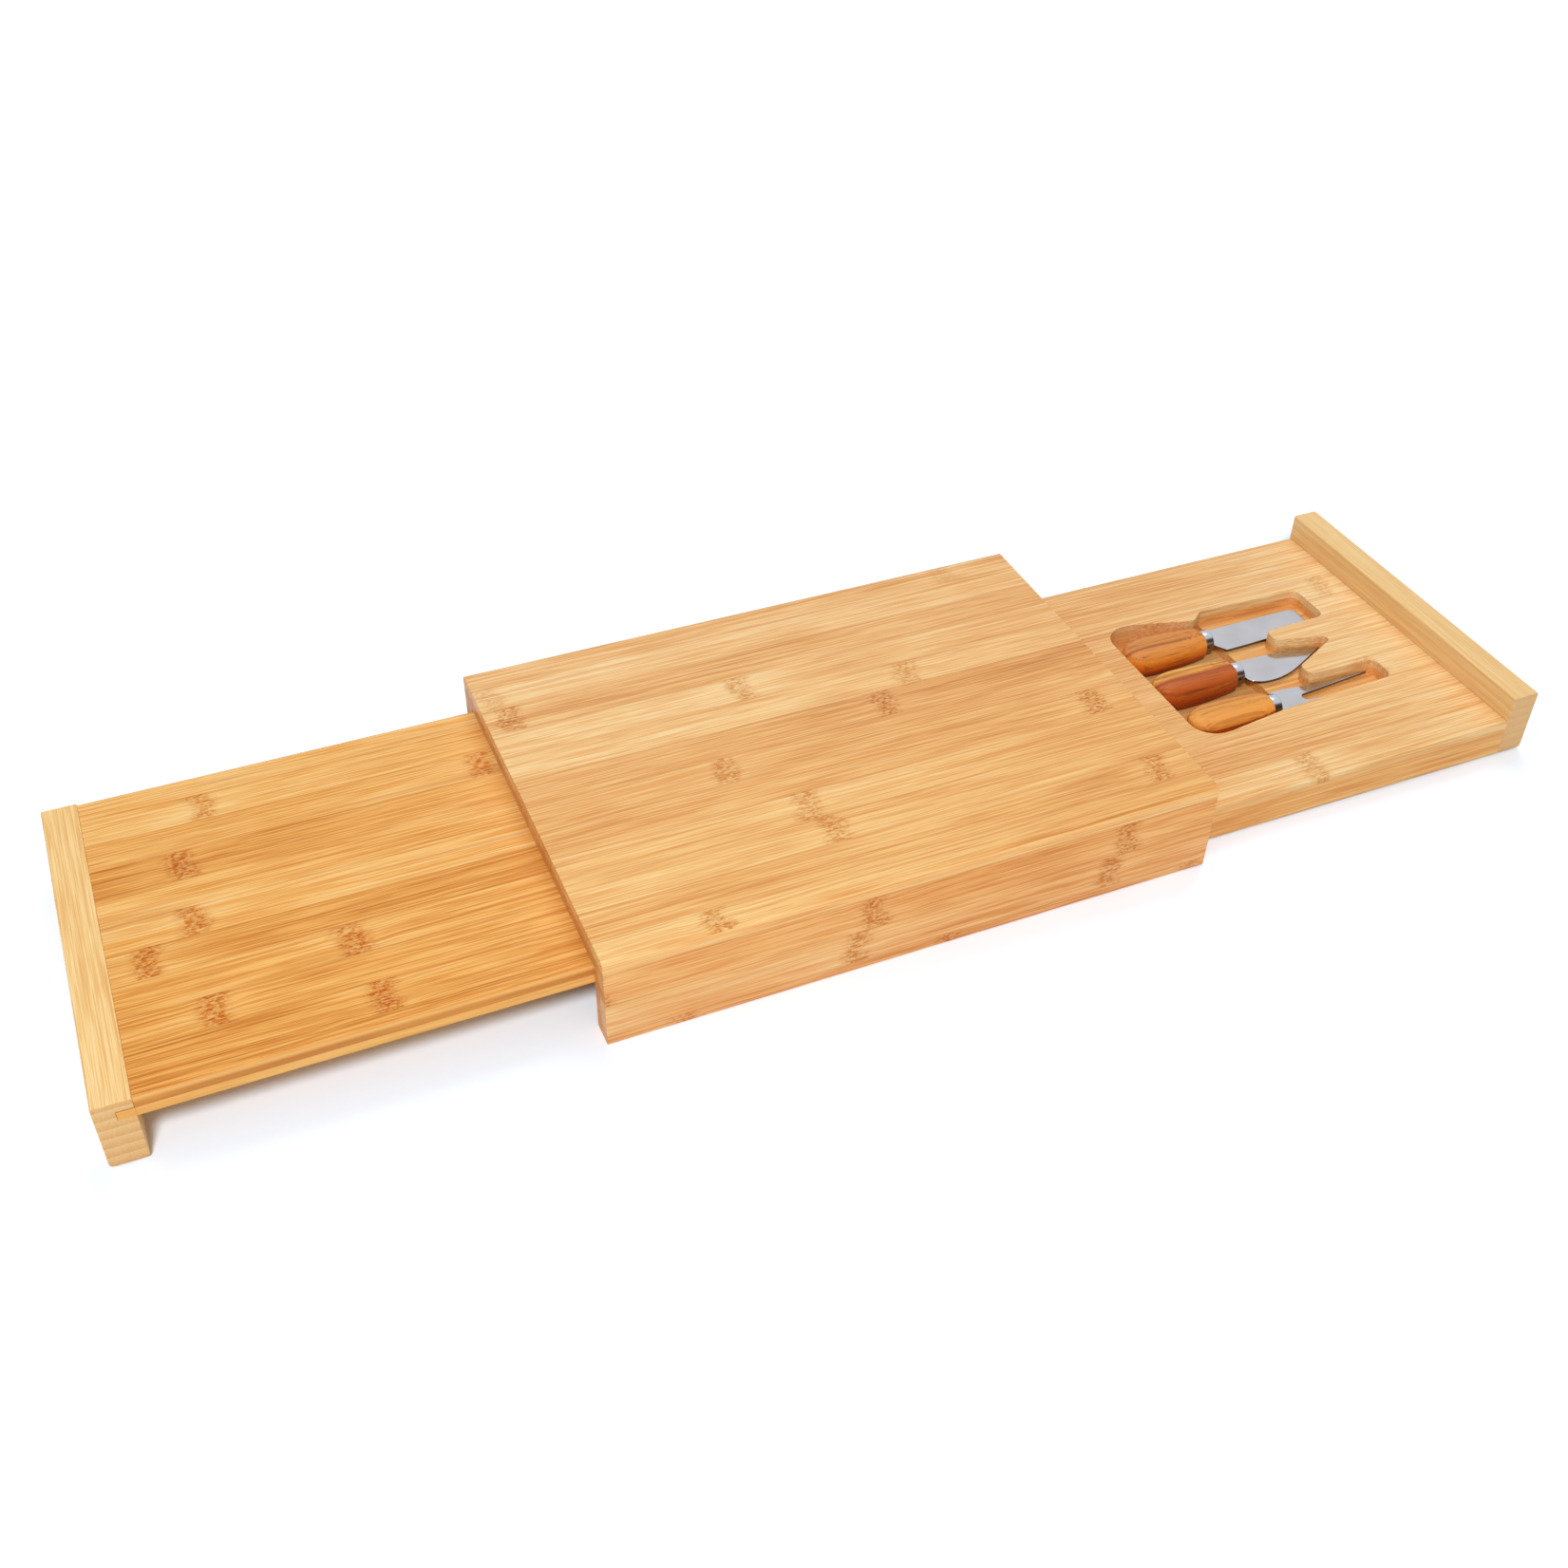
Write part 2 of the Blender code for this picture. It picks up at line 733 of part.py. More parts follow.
def tang_points(neck):
    """The tang's outline from the back side of the neck to its edge side, X from the ferrule."""
    half = tang_width / 2
    end = -tang_length - ferrule_wall
    return [(neck, half), (end, half), (end, -half), (neck, -half)]


def slicer_outline():
    """Straight back, square rounded tip, straight edge and a slanted heel."""
    neck = fit_gap
    tip = slicer_reach
    corners = [
        (slicer_heel, -slicer_edge, 0),
        (tip, -slicer_edge + slicer_edge_rise, slicer_edge_tip_round),
        (tip, slicer_back, slicer_tip_round),
        (neck, slicer_back, 0),
    ]
    points = [tuple(point) for point in rounded_outline(corners)]
    return points + tang_points(neck) + [(neck, -slicer_heel_start)]


def heart_outline():
    """Round belly, a straight edge up to a raised point and a gently curved back."""
    neck = fit_gap
    heel = (heart_heel, -heart_heel_drop)
    heel_bend = (heart_heel_bend, -heart_belly)
    lowest = (heart_lowest, -heart_belly)
    belly_bend = (heart_belly_bend, -heart_belly)
    turn = (heart_edge_turn, -heart_belly + heart_edge_rise)
    tip = (heart_reach, heart_tip_rise)
    back_bend = (heart_back_bend, heart_back)
    corner = (heart_back_corner, heart_back)
    points = [heel]
    points += curve_between(heel, heel_bend, lowest)
    points += curve_between(lowest, belly_bend, turn)
    points.append(tip)
    points += curve_between(tip, back_bend, corner)
    points.append((neck, heart_back - heart_back_drop))
    return points + tang_points(neck) + [(neck, -heart_heel_drop / 2)]


def fork_outline():
    """A plate that narrows a little and splits at a round notch into two tapering prongs."""
    neck = fit_gap
    half = fork_half_width
    base = fork_base_half_width
    notch = fork_notch_width / 2
    notch_x = fork_notch_start + notch
    inner_tip = half - prong_tip_width
    side = [
        (neck, base - fork_shoulder_drop),
        (fork_shoulder, base),
        (fork_taper_start, base),
        (fork_taper_end, half),
        (fork_reach, half),
        (fork_reach, inner_tip),
    ]
    points = [(x, -y) for x, y in side]
    for step in range(fork_notch_steps + 1):
        angle = math.pi * step / fork_notch_steps - math.pi / 2
        points.append((notch_x - notch * math.cos(angle), notch * math.sin(angle)))
    points += list(reversed(side))
    return points + tang_points(neck)


def make_knife(name, outline, row_y, butt_x, drawer, materials):
    """Local X starts at the butt, on the knife's axis, and the knife lifts straight up."""
    wood, steel, ferrule_steel = materials
    body = add_empty(name + "_axis", (butt_x, row_y, -knife_axis_drop), drawer)
    make_handle(name + "_handle", wood, body)
    make_ferrule(name + "_ferrule", ferrule_steel, body)
    blade_start = handle_length + ferrule_length
    moved = [(blade_start + x, y) for x, y in outline]
    blade = prism(moved, "Z", -blade_thickness / 2, blade_thickness / 2)
    add_object(name + "_blade", blade, steel, body)
    return body


def build():
    clear_scene()
    bamboo = make_material("bamboo", (0.80, 0.50, 0.20), 0.45, 0.0)
    tray_bamboo = make_material("tray_bamboo", (0.76, 0.40, 0.13), 0.45, 0.0)
    pale_bamboo = make_material("pale_bamboo", (0.90, 0.66, 0.32), 0.5, 0.0)
    handle_wood = make_material("handle_wood", (0.50, 0.20, 0.06), 0.4, 0.0)
    blade_steel = make_material("blade_steel", (0.75, 0.76, 0.78), 0.3, 1.0)
    ferrule_steel = make_material("ferrule_steel", (0.45, 0.44, 0.44), 0.3, 1.0)

    make_top_board(bamboo)
    make_side_rail("front_side_rail", -1, bamboo)
    make_side_rail("back_side_rail", 1, bamboo)
    make_runner("front_runner", -1, bamboo)
    make_runner("back_runner", 1, bamboo)
    make_tray(tray_bamboo, pale_bamboo)
    drawer, recess_left = make_drawer(bamboo, pale_bamboo)

    front, middle, back = knife_rows()
    materials = (handle_wood, blade_steel, ferrule_steel)
    slicer_x = recess_left + slicer_butt_gap
    heart_x = recess_left + heart_butt_gap
    fork_x = recess_left + fork_butt_gap
    make_knife("slicer", slicer_outline(), back, slicer_x, drawer, materials)
    make_knife("heart_knife", heart_outline(), middle, heart_x, drawer, materials)
    make_knife("fork", fork_outline(), front, fork_x, drawer, materials)


build()
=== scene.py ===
import math

import bmesh
import bpy
import numpy as np
from mathutils import Matrix, Vector
from mathutils.geometry import tessellate_polygon


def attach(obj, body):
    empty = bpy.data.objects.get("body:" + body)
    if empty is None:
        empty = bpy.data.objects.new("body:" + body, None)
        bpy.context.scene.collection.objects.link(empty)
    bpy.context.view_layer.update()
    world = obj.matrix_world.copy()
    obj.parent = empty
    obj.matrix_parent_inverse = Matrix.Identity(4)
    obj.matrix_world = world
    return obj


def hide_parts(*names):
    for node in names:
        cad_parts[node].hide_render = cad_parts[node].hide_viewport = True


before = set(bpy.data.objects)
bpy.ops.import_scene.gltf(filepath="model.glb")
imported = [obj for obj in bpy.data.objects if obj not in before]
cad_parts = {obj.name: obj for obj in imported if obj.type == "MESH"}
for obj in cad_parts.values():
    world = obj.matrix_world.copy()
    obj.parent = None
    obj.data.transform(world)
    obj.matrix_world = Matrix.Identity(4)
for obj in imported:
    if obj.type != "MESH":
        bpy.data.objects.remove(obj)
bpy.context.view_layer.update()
print("frame loaded with", len(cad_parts), "solids")

# shaping helpers: profiles, rings and the meshes made of them
quality = {
    "cornerSteps": 8,      # facets in a rounded corner
    "endSteps": 5,         # rings in the softened end of a bar
    "guard": 0.0001,       # flat band beside a rounding, so that wide faces stay flat
    "smoothAngle": 32,     # degrees, sharper edges keep a crease
    "weld": 1e-7,          # points nearer than this are one
    "near": 1e-6,          # lengths within this are alike
    "tiny": 1e-12,         # keeps a length from being nought
}


# rows of vectors made one long; spare keeps the length of a row from being nought
def unit(rows, spare=0.0):
    return rows / (np.linalg.norm(rows, axis=1, keepdims=True) + spare)


# first times second part, less second times first, row by row
def cross(a, b):
    return a[:, 0] * b[:, 1] - a[:, 1] * b[:, 0]


# twice the area inside a loop, above nought when it runs to the left
def areaOf(loop):
    return np.sum(cross(loop, np.roll(loop, -1, axis=0)))


# a quarter circle of the radius: how far each step still lies in, and how far it has come along
def quarter(radius, steps):
    angle = np.linspace(0, math.pi / 2, steps)
    return radius * (1 - np.sin(angle)), radius * (1 - np.cos(angle))


# every corner (a, b, radius) becomes a tangent arc: centre plus a spoke turned through the sweep
def roundCorners(corners, guard=None, steps=None, weld=False):
    steps = steps or quality["cornerSteps"]
    guard = quality["guard"] if guard is None else guard
    corner = np.array(corners, float)
    here, radius = corner[:, :2], corner[:, 2:3]
    toBefore = unit(np.roll(here, 1, axis=0) - here)
    toAfter = unit(np.roll(here, -1, axis=0) - here)
    half = np.arccos(np.clip((toBefore * toAfter).sum(1, keepdims=True), -1, 1)) / 2
    run = radius / np.tan(half)
    reach = unit(toBefore + toAfter, quality["tiny"]) * radius / np.sin(half)
    first, last = toBefore * run - reach, toAfter * run - reach
    sweep = np.arctan2(cross(first, last), (first * last).sum(1))
    turn = sweep[:, None] * np.linspace(0, 1, steps + 1)
    spokeA = first[:, :1] * np.cos(turn) - first[:, 1:] * np.sin(turn)
    spokeB = first[:, :1] * np.sin(turn) + first[:, 1:] * np.cos(turn)
    arc = (here + reach)[:, None] + np.stack([spokeA, spokeB], axis=-1)
    flat = np.where(radius > 0, guard, 0.0)
    lead = (here + toBefore * (run + flat))[:, None]
    tail = (here + toAfter * (run + flat))[:, None]
    points = np.concatenate([lead, arc, tail], axis=1).reshape(-1, 2)
    if weld:
        points = points[np.linalg.norm(points - np.roll(points, 1, axis=0), axis=1) > quality["weld"]]
    return points


# how each point of a loop moves so that both of its sides move out by one, and +1 or -1 for bulging or hollow
def outwardOf(loop):
    ahead = unit(np.roll(loop, -1, axis=0) - loop)
    normal = np.stack([ahead[:, 1], -ahead[:, 0]], axis=1)
    before = np.roll(normal, 1, axis=0)
    meet = (normal + before) / (1 + (normal * before).sum(1, keepdims=True))
    way = np.sign(areaOf(loop))
    return meet * way, np.sign(cross(np.roll(ahead, 1, axis=0), ahead)) * way


# the corners of a profile moved inwards; a bulging corner's radius shrinks and a hollow one's grows
def drawIn(corners, inset):
    corner = np.array(corners, float)
    outward, bulge = outwardOf(corner[:, :2])
    radius = np.where(corner[:, 2] > 0, np.maximum(corner[:, 2] - inset * bulge, quality["near"]), 0.0)
    return np.concatenate([corner[:, :2] - inset * outward, radius[:, None]], axis=1)


# quads of a grid of rings: corner numbers a, b, c, d of each cell, worked out as whole arrays
def gridQuads(rings, sides, closed=True, first=0):
    column = np.arange(sides if closed else sides - 1)
    row = np.arange(rings - 1)[:, None]
    after = (column + 1) % sides
    a, b = row * sides + column, row * sides + after
    return (np.stack([a, b, b + sides, a + sides], axis=-1) + first).reshape(-1, 4)


# stations and insets of a bar whose two ends are rounded over by a quarter circle
def softEnds(start, end, ease):
    inset, lead = quarter(ease, quality["endSteps"])
    guard = quality["guard"]
    stations = [[start], start + lead, [start + ease + guard, end - ease - guard], end - lead[::-1], [end]]
    insets = [[ease + guard], inset, [0, 0], inset[::-1], [ease + guard]]
    return np.concatenate(stations), np.concatenate(insets)


# ring i is the profile drawn in by insets[i] and set at stations[i] along the axis
def carryProfile(corners, axis, stations, insets, guard=None, steps=None):
    flat = np.stack([roundCorners(drawIn(corners, inset), guard, steps) for inset in insets])
    along = np.broadcast_to(np.asarray(stations)[:, None], flat.shape[:2])
    order = {"x": (along, flat[..., 0], flat[..., 1]), "y": (flat[..., 0], along, flat[..., 1])}
    order["z"] = (flat[..., 0], flat[..., 1], along)
    return np.stack(order[axis], axis=-1)


# a closed body from rings, with its first and last ring filled flat
def bodyOfRings(rings):
    count, sides = rings.shape[:2]
    faces = gridQuads(count, sides).tolist()
    faces.append(list(range(sides - 1, -1, -1)))
    faces.append(list(range((count - 1) * sides, count * sides)))
    return rings.reshape(-1, 3), faces


# a bar along one axis, the same length to both sides of the middle, with soft ends
def softBar(corners, axis, half, ease):
    return bodyOfRings(carryProfile(corners, axis, *softEnds(-half, half, ease)))


# a mesh with its doubled points welded and its faces turned outwards
def weldedMesh(name, points, faces):
    mesh = bpy.data.meshes.new(name)
    mesh.from_pydata(np.asarray(points).tolist(), [], faces)
    work = bmesh.new()
    work.from_mesh(mesh)
    bmesh.ops.remove_doubles(work, verts=work.verts, dist=quality["weld"])
    bmesh.ops.recalc_face_normals(work, faces=work.faces)
    work.to_mesh(mesh)
    work.free()
    return mesh


# an object of the data, linked to the scene
def addObject(name, data):
    made = bpy.data.objects.new(name, data)
    bpy.context.scene.collection.objects.link(made)
    return made


# one visible piece, riding on its body and standing for its solid
def addPiece(name, points, faces, finish, body, stands, slot, cutters=()):
    mesh = weldedMesh(name, points, faces)
    mesh.materials.append(finish)
    piece = addObject(name, mesh)
    for cutter in cutters:
        carve(piece, cutter)
    piece.data.shade_smooth()
    piece.data.set_sharp_from_angle(angle=math.radians(quality["smoothAngle"]))
    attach(piece, body)
    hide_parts(stands)


# takes a closed shape out of a piece and leaves nothing of the cutter behind
def carve(piece, cutter):
    mesh = weldedMesh("cutter", *cutter)
    tool = addObject("cutter", mesh)
    carving = piece.modifiers.new("carving", "BOOLEAN")
    carving.operation, carving.solver, carving.object = "DIFFERENCE", "EXACT", tool
    shape = bpy.data.meshes.new_from_object(piece.evaluated_get(bpy.context.evaluated_depsgraph_get()))
    piece.modifiers.clear()
    piece.data, old = shape, piece.data
    bpy.data.meshes.remove(old)
    bpy.data.objects.remove(tool)
    bpy.data.meshes.remove(mesh)


# shader helpers: sums on sockets read like sums on numbers
class Wire:
    def __init__(self, maker, socket):
        self.maker, self.socket = maker, socket

    def __add__(self, other): return self.maker.sum("ADD", self, other)
    def __radd__(self, other): return self.maker.sum("ADD", other, self)
    def __sub__(self, other): return self.maker.sum("SUBTRACT", self, other)
    def __rsub__(self, other): return self.maker.sum("SUBTRACT", other, self)
    def __mul__(self, other): return self.maker.sum("MULTIPLY", self, other)
    def __rmul__(self, other): return self.maker.sum("MULTIPLY", other, self)
    def __truediv__(self, other): return self.maker.sum("DIVIDE", self, other)


class Finish:
    # a material, or the world, and the few ways in which its nodes are added
    def __init__(self, name, owner=None, shader="Principled BSDF"):
        self.owner = owner or bpy.data.materials.new(name)
        self.owner.use_nodes = True
        self.tree = self.owner.node_tree
        self.shader = self.tree.nodes[shader]

    # kind of node, its settings first, then the values or wires of its sockets
    def node(self, kind, settings=None, values=None, out=0):
        made = self.tree.nodes.new("ShaderNode" + kind)
        for key, value in (settings or {}).items():
            if key == "stops":
                for _ in value[2:]:
                    made.color_ramp.elements.new(1.0)
                for element, (place, colour) in zip(made.color_ramp.elements, value):
                    element.position, element.color = place, (*colour, 1.0)[:4]
            elif key == "interpolation":
                made.color_ramp.interpolation = value
            else:
                setattr(made, key, value)
        for key, value in (values or {}).items():
            self.feed(made.inputs[key], value)
        return Wire(self, made.outputs[out])

    def feed(self, socket, value):
        if isinstance(value, Wire):
            self.tree.links.new(value.socket, socket)
        else:
            socket.default_value = value

    def sum(self, operation, a, b=0.0):
        return self.node("Math", {"operation": operation}, {0: a, 1: b})

    # the three parts of a place, "XYZ", or of a "Color"
    def parts(self, kind="XYZ", value=None):
        split = self.tree.nodes.new("ShaderNodeSeparate" + kind)
        self.feed(split.inputs[0], value or self.node("TexCoord", out="Object"))
        return [Wire(self, socket) for socket in list(split.outputs)[:3]]

    # 0 below low, 1 above high, eased between
    def smooth(self, value, low, high):
        span = {"Value": value, "From Min": low, "From Max": high}
        return self.node("MapRange", {"interpolation_type": "SMOOTHSTEP"}, span)

    # noise at a place given in waves along each axis
    def noise(self, x, y, z, detail=2.0, roughness=0.5):
        place = self.node("CombineXYZ", None, {0: x, 1: y, 2: z})
        values = {"Vector": place, "Scale": 1.0, "Detail": detail, "Roughness": roughness}
        return self.node("TexNoise", None, values, out="Fac")

    def ramp(self, value, stops, interpolation="LINEAR"):
        return self.node("ValToRGB", {"stops": stops, "interpolation": interpolation}, {"Fac": value}, out="Color")

    def blend(self, share, a, b, mode="MIX"):
        made = self.tree.nodes.new("ShaderNodeMix")
        made.data_type, made.blend_type = "RGBA", mode
        for index, value in ((0, share), (6, a), (7, b)):
            self.feed(made.inputs[index], value if isinstance(value, (Wire, float)) else (*value, 1.0))
        return Wire(self, made.outputs[2])

    def bump(self, height, distance, strength=1.0):
        return self.node("Bump", None, {"Height": height, "Distance": distance, "Strength": strength}, out="Normal")

    def surface(self, **values):
        for key, value in values.items():
            self.feed(self.shader.inputs[key.replace("_", " ")], value)
        return self.owner

    # 1 where the camera or a mirror sees it
    def seen(self):
        return self.sum("MAXIMUM", *(self.node("LightPath", out=ray) for ray in ("Is Camera Ray", "Is Glossy Ray")))


# a screen colour in 0 to 255 as the linear value that a shader takes
def tint(red, green, blue):
    shade = np.array([red, green, blue]) / 255
    linear = np.where(shade <= 0.04045, shade / 12.92, ((shade + 0.055) / 1.055) ** 2.4)
    return tuple(float(value) for value in linear)


# stops of a ramp, each a place and a screen colour
def palette(*rows):
    return [(place, tint(*colour)) for place, *colour in rows]


# bamboo's figure: for each noise waves per metre along and across a strip and how far the seed shifts it,
# for lean and broad waves across alone, the shift and a fixed place; spans from none to full; reaches in metres
figure = {
    "ragged": (30, 700, 1), "sway": (60, 85, 1), "wide": (3.5, 210, 9), "fine": (20, 1350, 3), "hair": (70, 2700, 1),
    "patch": (9, 55, 4), "weave": (330, 1000), "lean": (60, 3, 0.0), "broad": (110, 5, 7.0), "broadSpan": (0.55, 1.1),
    "stripSeed": 1.37, "plySeed": 41.0, "raggedReach": 0.012, "leanReach": 0.014, "swayReach": 0.0032,
    "halo": (0.005, 0.038), "haloTone": 0.08, "core": (0.0022, 0.0090), "thread": (0.38, 0.62),
    "sideInset": (0.0016, 0.0003), "endInset": (0.0004, 0.0001), "calm": 0.55,
    "streak": (0.56, 0.76), "streakPatch": 0.3, "hairs": (0.58, 0.76),
    "sidePatch": (0.30, 0.52), "paintedHighlightSpan": (0.72, 0.90),
    "warmTint": (1.0, 0.93, 0.70), "plyTint": (1.0, 0.84, 0.60), "endTint": (0.88, 0.80, 0.80),
    "fray": 4.0, "darkDash": (0.47, 0.60), "paleDash": (0.38, 0.48), "paleShare": 0.36,
    "threadRelief": 0.5, "dashRelief": 0.3, "seamRelief": 0.4, "bump": (0.00010, 0.45),
    "threadRough": 0.12, "nodeRough": 0.1,
}


# lamellae glued side by side, each with its own tone, streaks and node;
# strips run from low to high across the board, each (tone left, tone right, node place, node strength);
# plies run from low to high through it, each (share of the height where it starts, tone, 1 if it holds the strips)
def bambooStock(name, look):
    finish = Finish(name)
    blend, smooth = finish.blend, finish.smooth
    axes = dict(zip("xyz", finish.parts()))
    along, across, through = (axes[key] for key in look["axes"])
    strips, (start, end), (low, high) = look["strips"], look["span"], look["plySpan"]

    cell = (across - look["low"]) / look["pitch"]
    stops = [(i / len(strips), strip) for i, strip in enumerate(strips)]
    table = finish.ramp(cell / len(strips), stops, "CONSTANT")
    nodeShare = Wire(finish, table.socket.node.outputs["Alpha"])
    toneLeft, toneRight, nodePlace = finish.parts("Color", table)
    height = (through - low) / (high - low)
    layer = finish.ramp(height, [(at, (tone, face, 0)) for at, tone, face in look["plies"]], "CONSTANT")
    plyTone, isFace = finish.parts("Color", layer)[:2]
    seed = finish.sum("FLOOR", cell) * figure["stripSeed"] + plyTone * figure["plySeed"] + look["seed"]

    def figured(kind, side, depth=0.0, detail=2.0, roughness=0.5):
        perAlong, perAcross, shift = figure[kind]
        third = depth * perAcross + seed * shift
        return finish.noise(along * perAlong, side * perAcross, third, detail, roughness)

    def perStrip(kind):
        perAcross, shift, third = figure[kind]
        return finish.noise(seed * shift, across * perAcross, third, detail=1.0)

    # how far from the strip's nearest node, with a line that leans and frays
    ragged = figured("ragged", across, roughness=0.7) - 0.5
    lean = perStrip("lean") - 0.5
    pastNode = along - (nodePlace * (end - start) + start) + ragged * figure["raggedReach"] + lean * figure["leanReach"]
    fromNode = finish.sum("PINGPONG", pastNode, look["nodeEvery"] / 2)
    leastBroad, broadSpread = figure["broadSpan"]
    broad = leastBroad + perStrip("broad") * broadSpread
    halo = (1 - smooth(fromNode, *figure["halo"])) * nodeShare * isFace
    core = (1 - smooth(fromNode / broad, *figure["core"])) * nodeShare * isFace

    # streaks run with the grain and sway beside a node
    side = across + (figured("sway", across, detail=1.0) - 0.5) * halo * figure["swayReach"]
    wide, fine = figured("wide", side, through, roughness=0.6), figured("fine", side, through, roughness=0.6)
    hair, patch = figured("hair", side, through, 1.0), figured("patch", across)
    thread = smooth(fine, *figure["thread"])

    onSide = smooth(finish.sum("ABSOLUTE", across), *(look["side"] - inset for inset in figure["sideInset"]))
    onEnd = smooth(finish.sum("ABSOLUTE", along), *(look["ends"] - inset for inset in figure["endInset"]))
    calm = 1 - onSide * figure["calm"] - onEnd * figure["calm"]
    stripTone = toneLeft + (toneRight - toneLeft) * smooth(along, start, end)
    tone = plyTone + (stripTone - plyTone) * isFace
    tone = tone + ((wide - 0.5) * look["wide"] + (thread - 0.5) * look["fine"]) * calm + (patch - 0.5) * look["patch"]
    tone = tone + halo * figure["haloTone"]
    if look["plyShade"]:
        tone = tone + (finish.sum("FRACT", (through - low) / look["plyPitch"]) - 0.5) * look["plyShade"]
    colour = finish.ramp(tone, look["palette"])
    streak = smooth(wide + (patch - 0.5) * figure["streakPatch"], *figure["streak"]) * look["streak"]
    colour = blend(streak, colour, look["streakColour"])
    # warmer and more saturated across the warm span; on the boards it grows towards the front, so that the paler back
    # is a painted sheen
    warm = smooth(across, *look["warmSpan"]) * look["warm"]
    colour = blend(warm, colour, figure["warmTint"], "MULTIPLY")
    colour = blend(smooth(hair, *figure["hairs"]) * look["hair"], colour, look["fibre"])
    colour = blend((1 - isFace) * look["plyWarm"], colour, figure["plyTint"], "MULTIPLY")
    colour = blend(onEnd * look["endWarm"], colour, figure["endTint"], "MULTIPLY")
    sideWarm = onSide * isFace * look["sideWarm"] * smooth(patch, *figure["sidePatch"])
    colour = blend(sideWarm, colour, look["sideColour"])
    # painted highlight: the side is lightened towards its rounded top edge, where light catches it
    paintedSideHighlight = onSide * smooth(height, *figure["paintedHighlightSpan"]) * look["paintedSideHighlight"]
    colour = blend(paintedSideHighlight, colour, look["palette"][-2][1])

    # a node is two or three columns of short wavy dashes, dark and pale
    perAlong, perAcross = figure["weave"]
    weave = finish.noise(along * perAlong, across * perAcross + ragged * figure["fray"], seed, roughness=0.7)
    dark = smooth(weave, *figure["darkDash"])
    pale = 1 - smooth(weave, *figure["paleDash"])
    colour = blend(core * (dark * look["nodeDark"] + look["stain"]), colour, look["node"], "MULTIPLY")
    colour = blend(core * pale * figure["paleShare"], colour, look["palette"][-1][1])
    edge = finish.sum("FRACT", cell)
    edge = 1 - smooth(finish.sum("MINIMUM", edge, 1 - edge), 0.0, look["seamWidth"] / look["pitch"])
    colour = blend(edge * look["seam"] * wide, colour, look["fibre"])
    relief = thread * figure["threadRelief"] + hair * figure["threadRelief"]
    relief = relief - core * dark * figure["dashRelief"] - edge * figure["seamRelief"]
    rough = look["roughness"] + (thread - 0.5) * figure["threadRough"] + core * figure["nodeRough"]
    return finish.surface(
        Base_Color=colour, Roughness=rough, Normal=finish.bump(relief, *figure["bump"]),
        Specular_IOR_Level=look["specular"])


bambooLook = {
    "axes": "xyz", "pitch": 0.021, "low": -0.127, "span": (-0.17, 0.17), "plySpan": (0.0415, 0.055),
    "plies": [(0.0, 0.25, 0), (0.52, 0.4, 1)], "seed": 0.3, "wide": 0.56, "fine": 0.44, "patch": 0.56, "hair": 0.24,
    "streak": 0.50, "streakColour": tint(222, 146, 72),
    # the boards' warmth towards the front leaves a paler back as a painted sheen
    "warm": 0.72, "warmSpan": (0.11, -0.10), "seam": 0.5, "seamWidth": 0.0008, "roughness": 0.44, "specular": 0.16,
    "fibre": tint(176, 102, 42), "node": (0.68, 0.40, 0.14),
    "palette": palette((0.00, 198, 130, 69), (0.30, 224, 160, 96), (0.55, 239, 185, 122), (0.80, 247, 205, 146),
                       (1.00, 253, 223, 172)),
    "stain": 0.34, "nodeDark": 0.70, "nodeEvery": 1.0, "plyWarm": 0.0, "plyPitch": 1.0, "plyShade": 0.0,
    "side": 1.0, "ends": 1.0, "endWarm": 0.0, "sideWarm": 0.0, "paintedSideHighlight": 0.0, "sideColour": tint(198, 126, 58),
    "strips": [
        (0.72, 0.42, 0.18, 0.95), (0.50, 0.48, 0.93, 0.9), (0.66, 0.56, 0.41, 0.8), (0.64, 0.50, 0.40, 0.8),
        (0.48, 0.40, 0.93, 1.0), (0.48, 0.45, 0.31, 0.8), (0.46, 0.30, 0.61, 1.0), (0.74, 0.60, 0.68, 0.7),
        (0.76, 0.54, 0.41, 0.8), (0.48, 0.48, 0.04, 1.0), (0.70, 0.58, 0.02, 0.5), (0.58, 0.54, 0.87, 0.4)],
}
bamboo = bambooStock("bamboo", bambooLook)
railLook = dict(
    bambooLook, axes="xzy", low=-0.015, seed=1.7, plySpan=(-0.1216, 0.1216), warm=0.55, warmSpan=(0.0, 0.04),
    palette=palette((0.0, 206, 129, 65), (0.30, 232, 159, 92), (0.55, 246, 184, 118), (0.80, 251, 203, 142),
                    (1.0, 255, 222, 168)),
    plies=[(0.0, 0.5, 1), (0.029, 0.30, 0), (0.971, 0.5, 1)], nodeEvery=0.146,
    strips=[(0.40, 0.45, 0.12, 0.8), (0.58, 0.52, 0.39, 0.9), (0.52, 0.40, 0.42, 1.0), (0.74, 0.70, 0.18, 0.0)])
railBamboo = bambooStock("rail_bamboo", railLook)
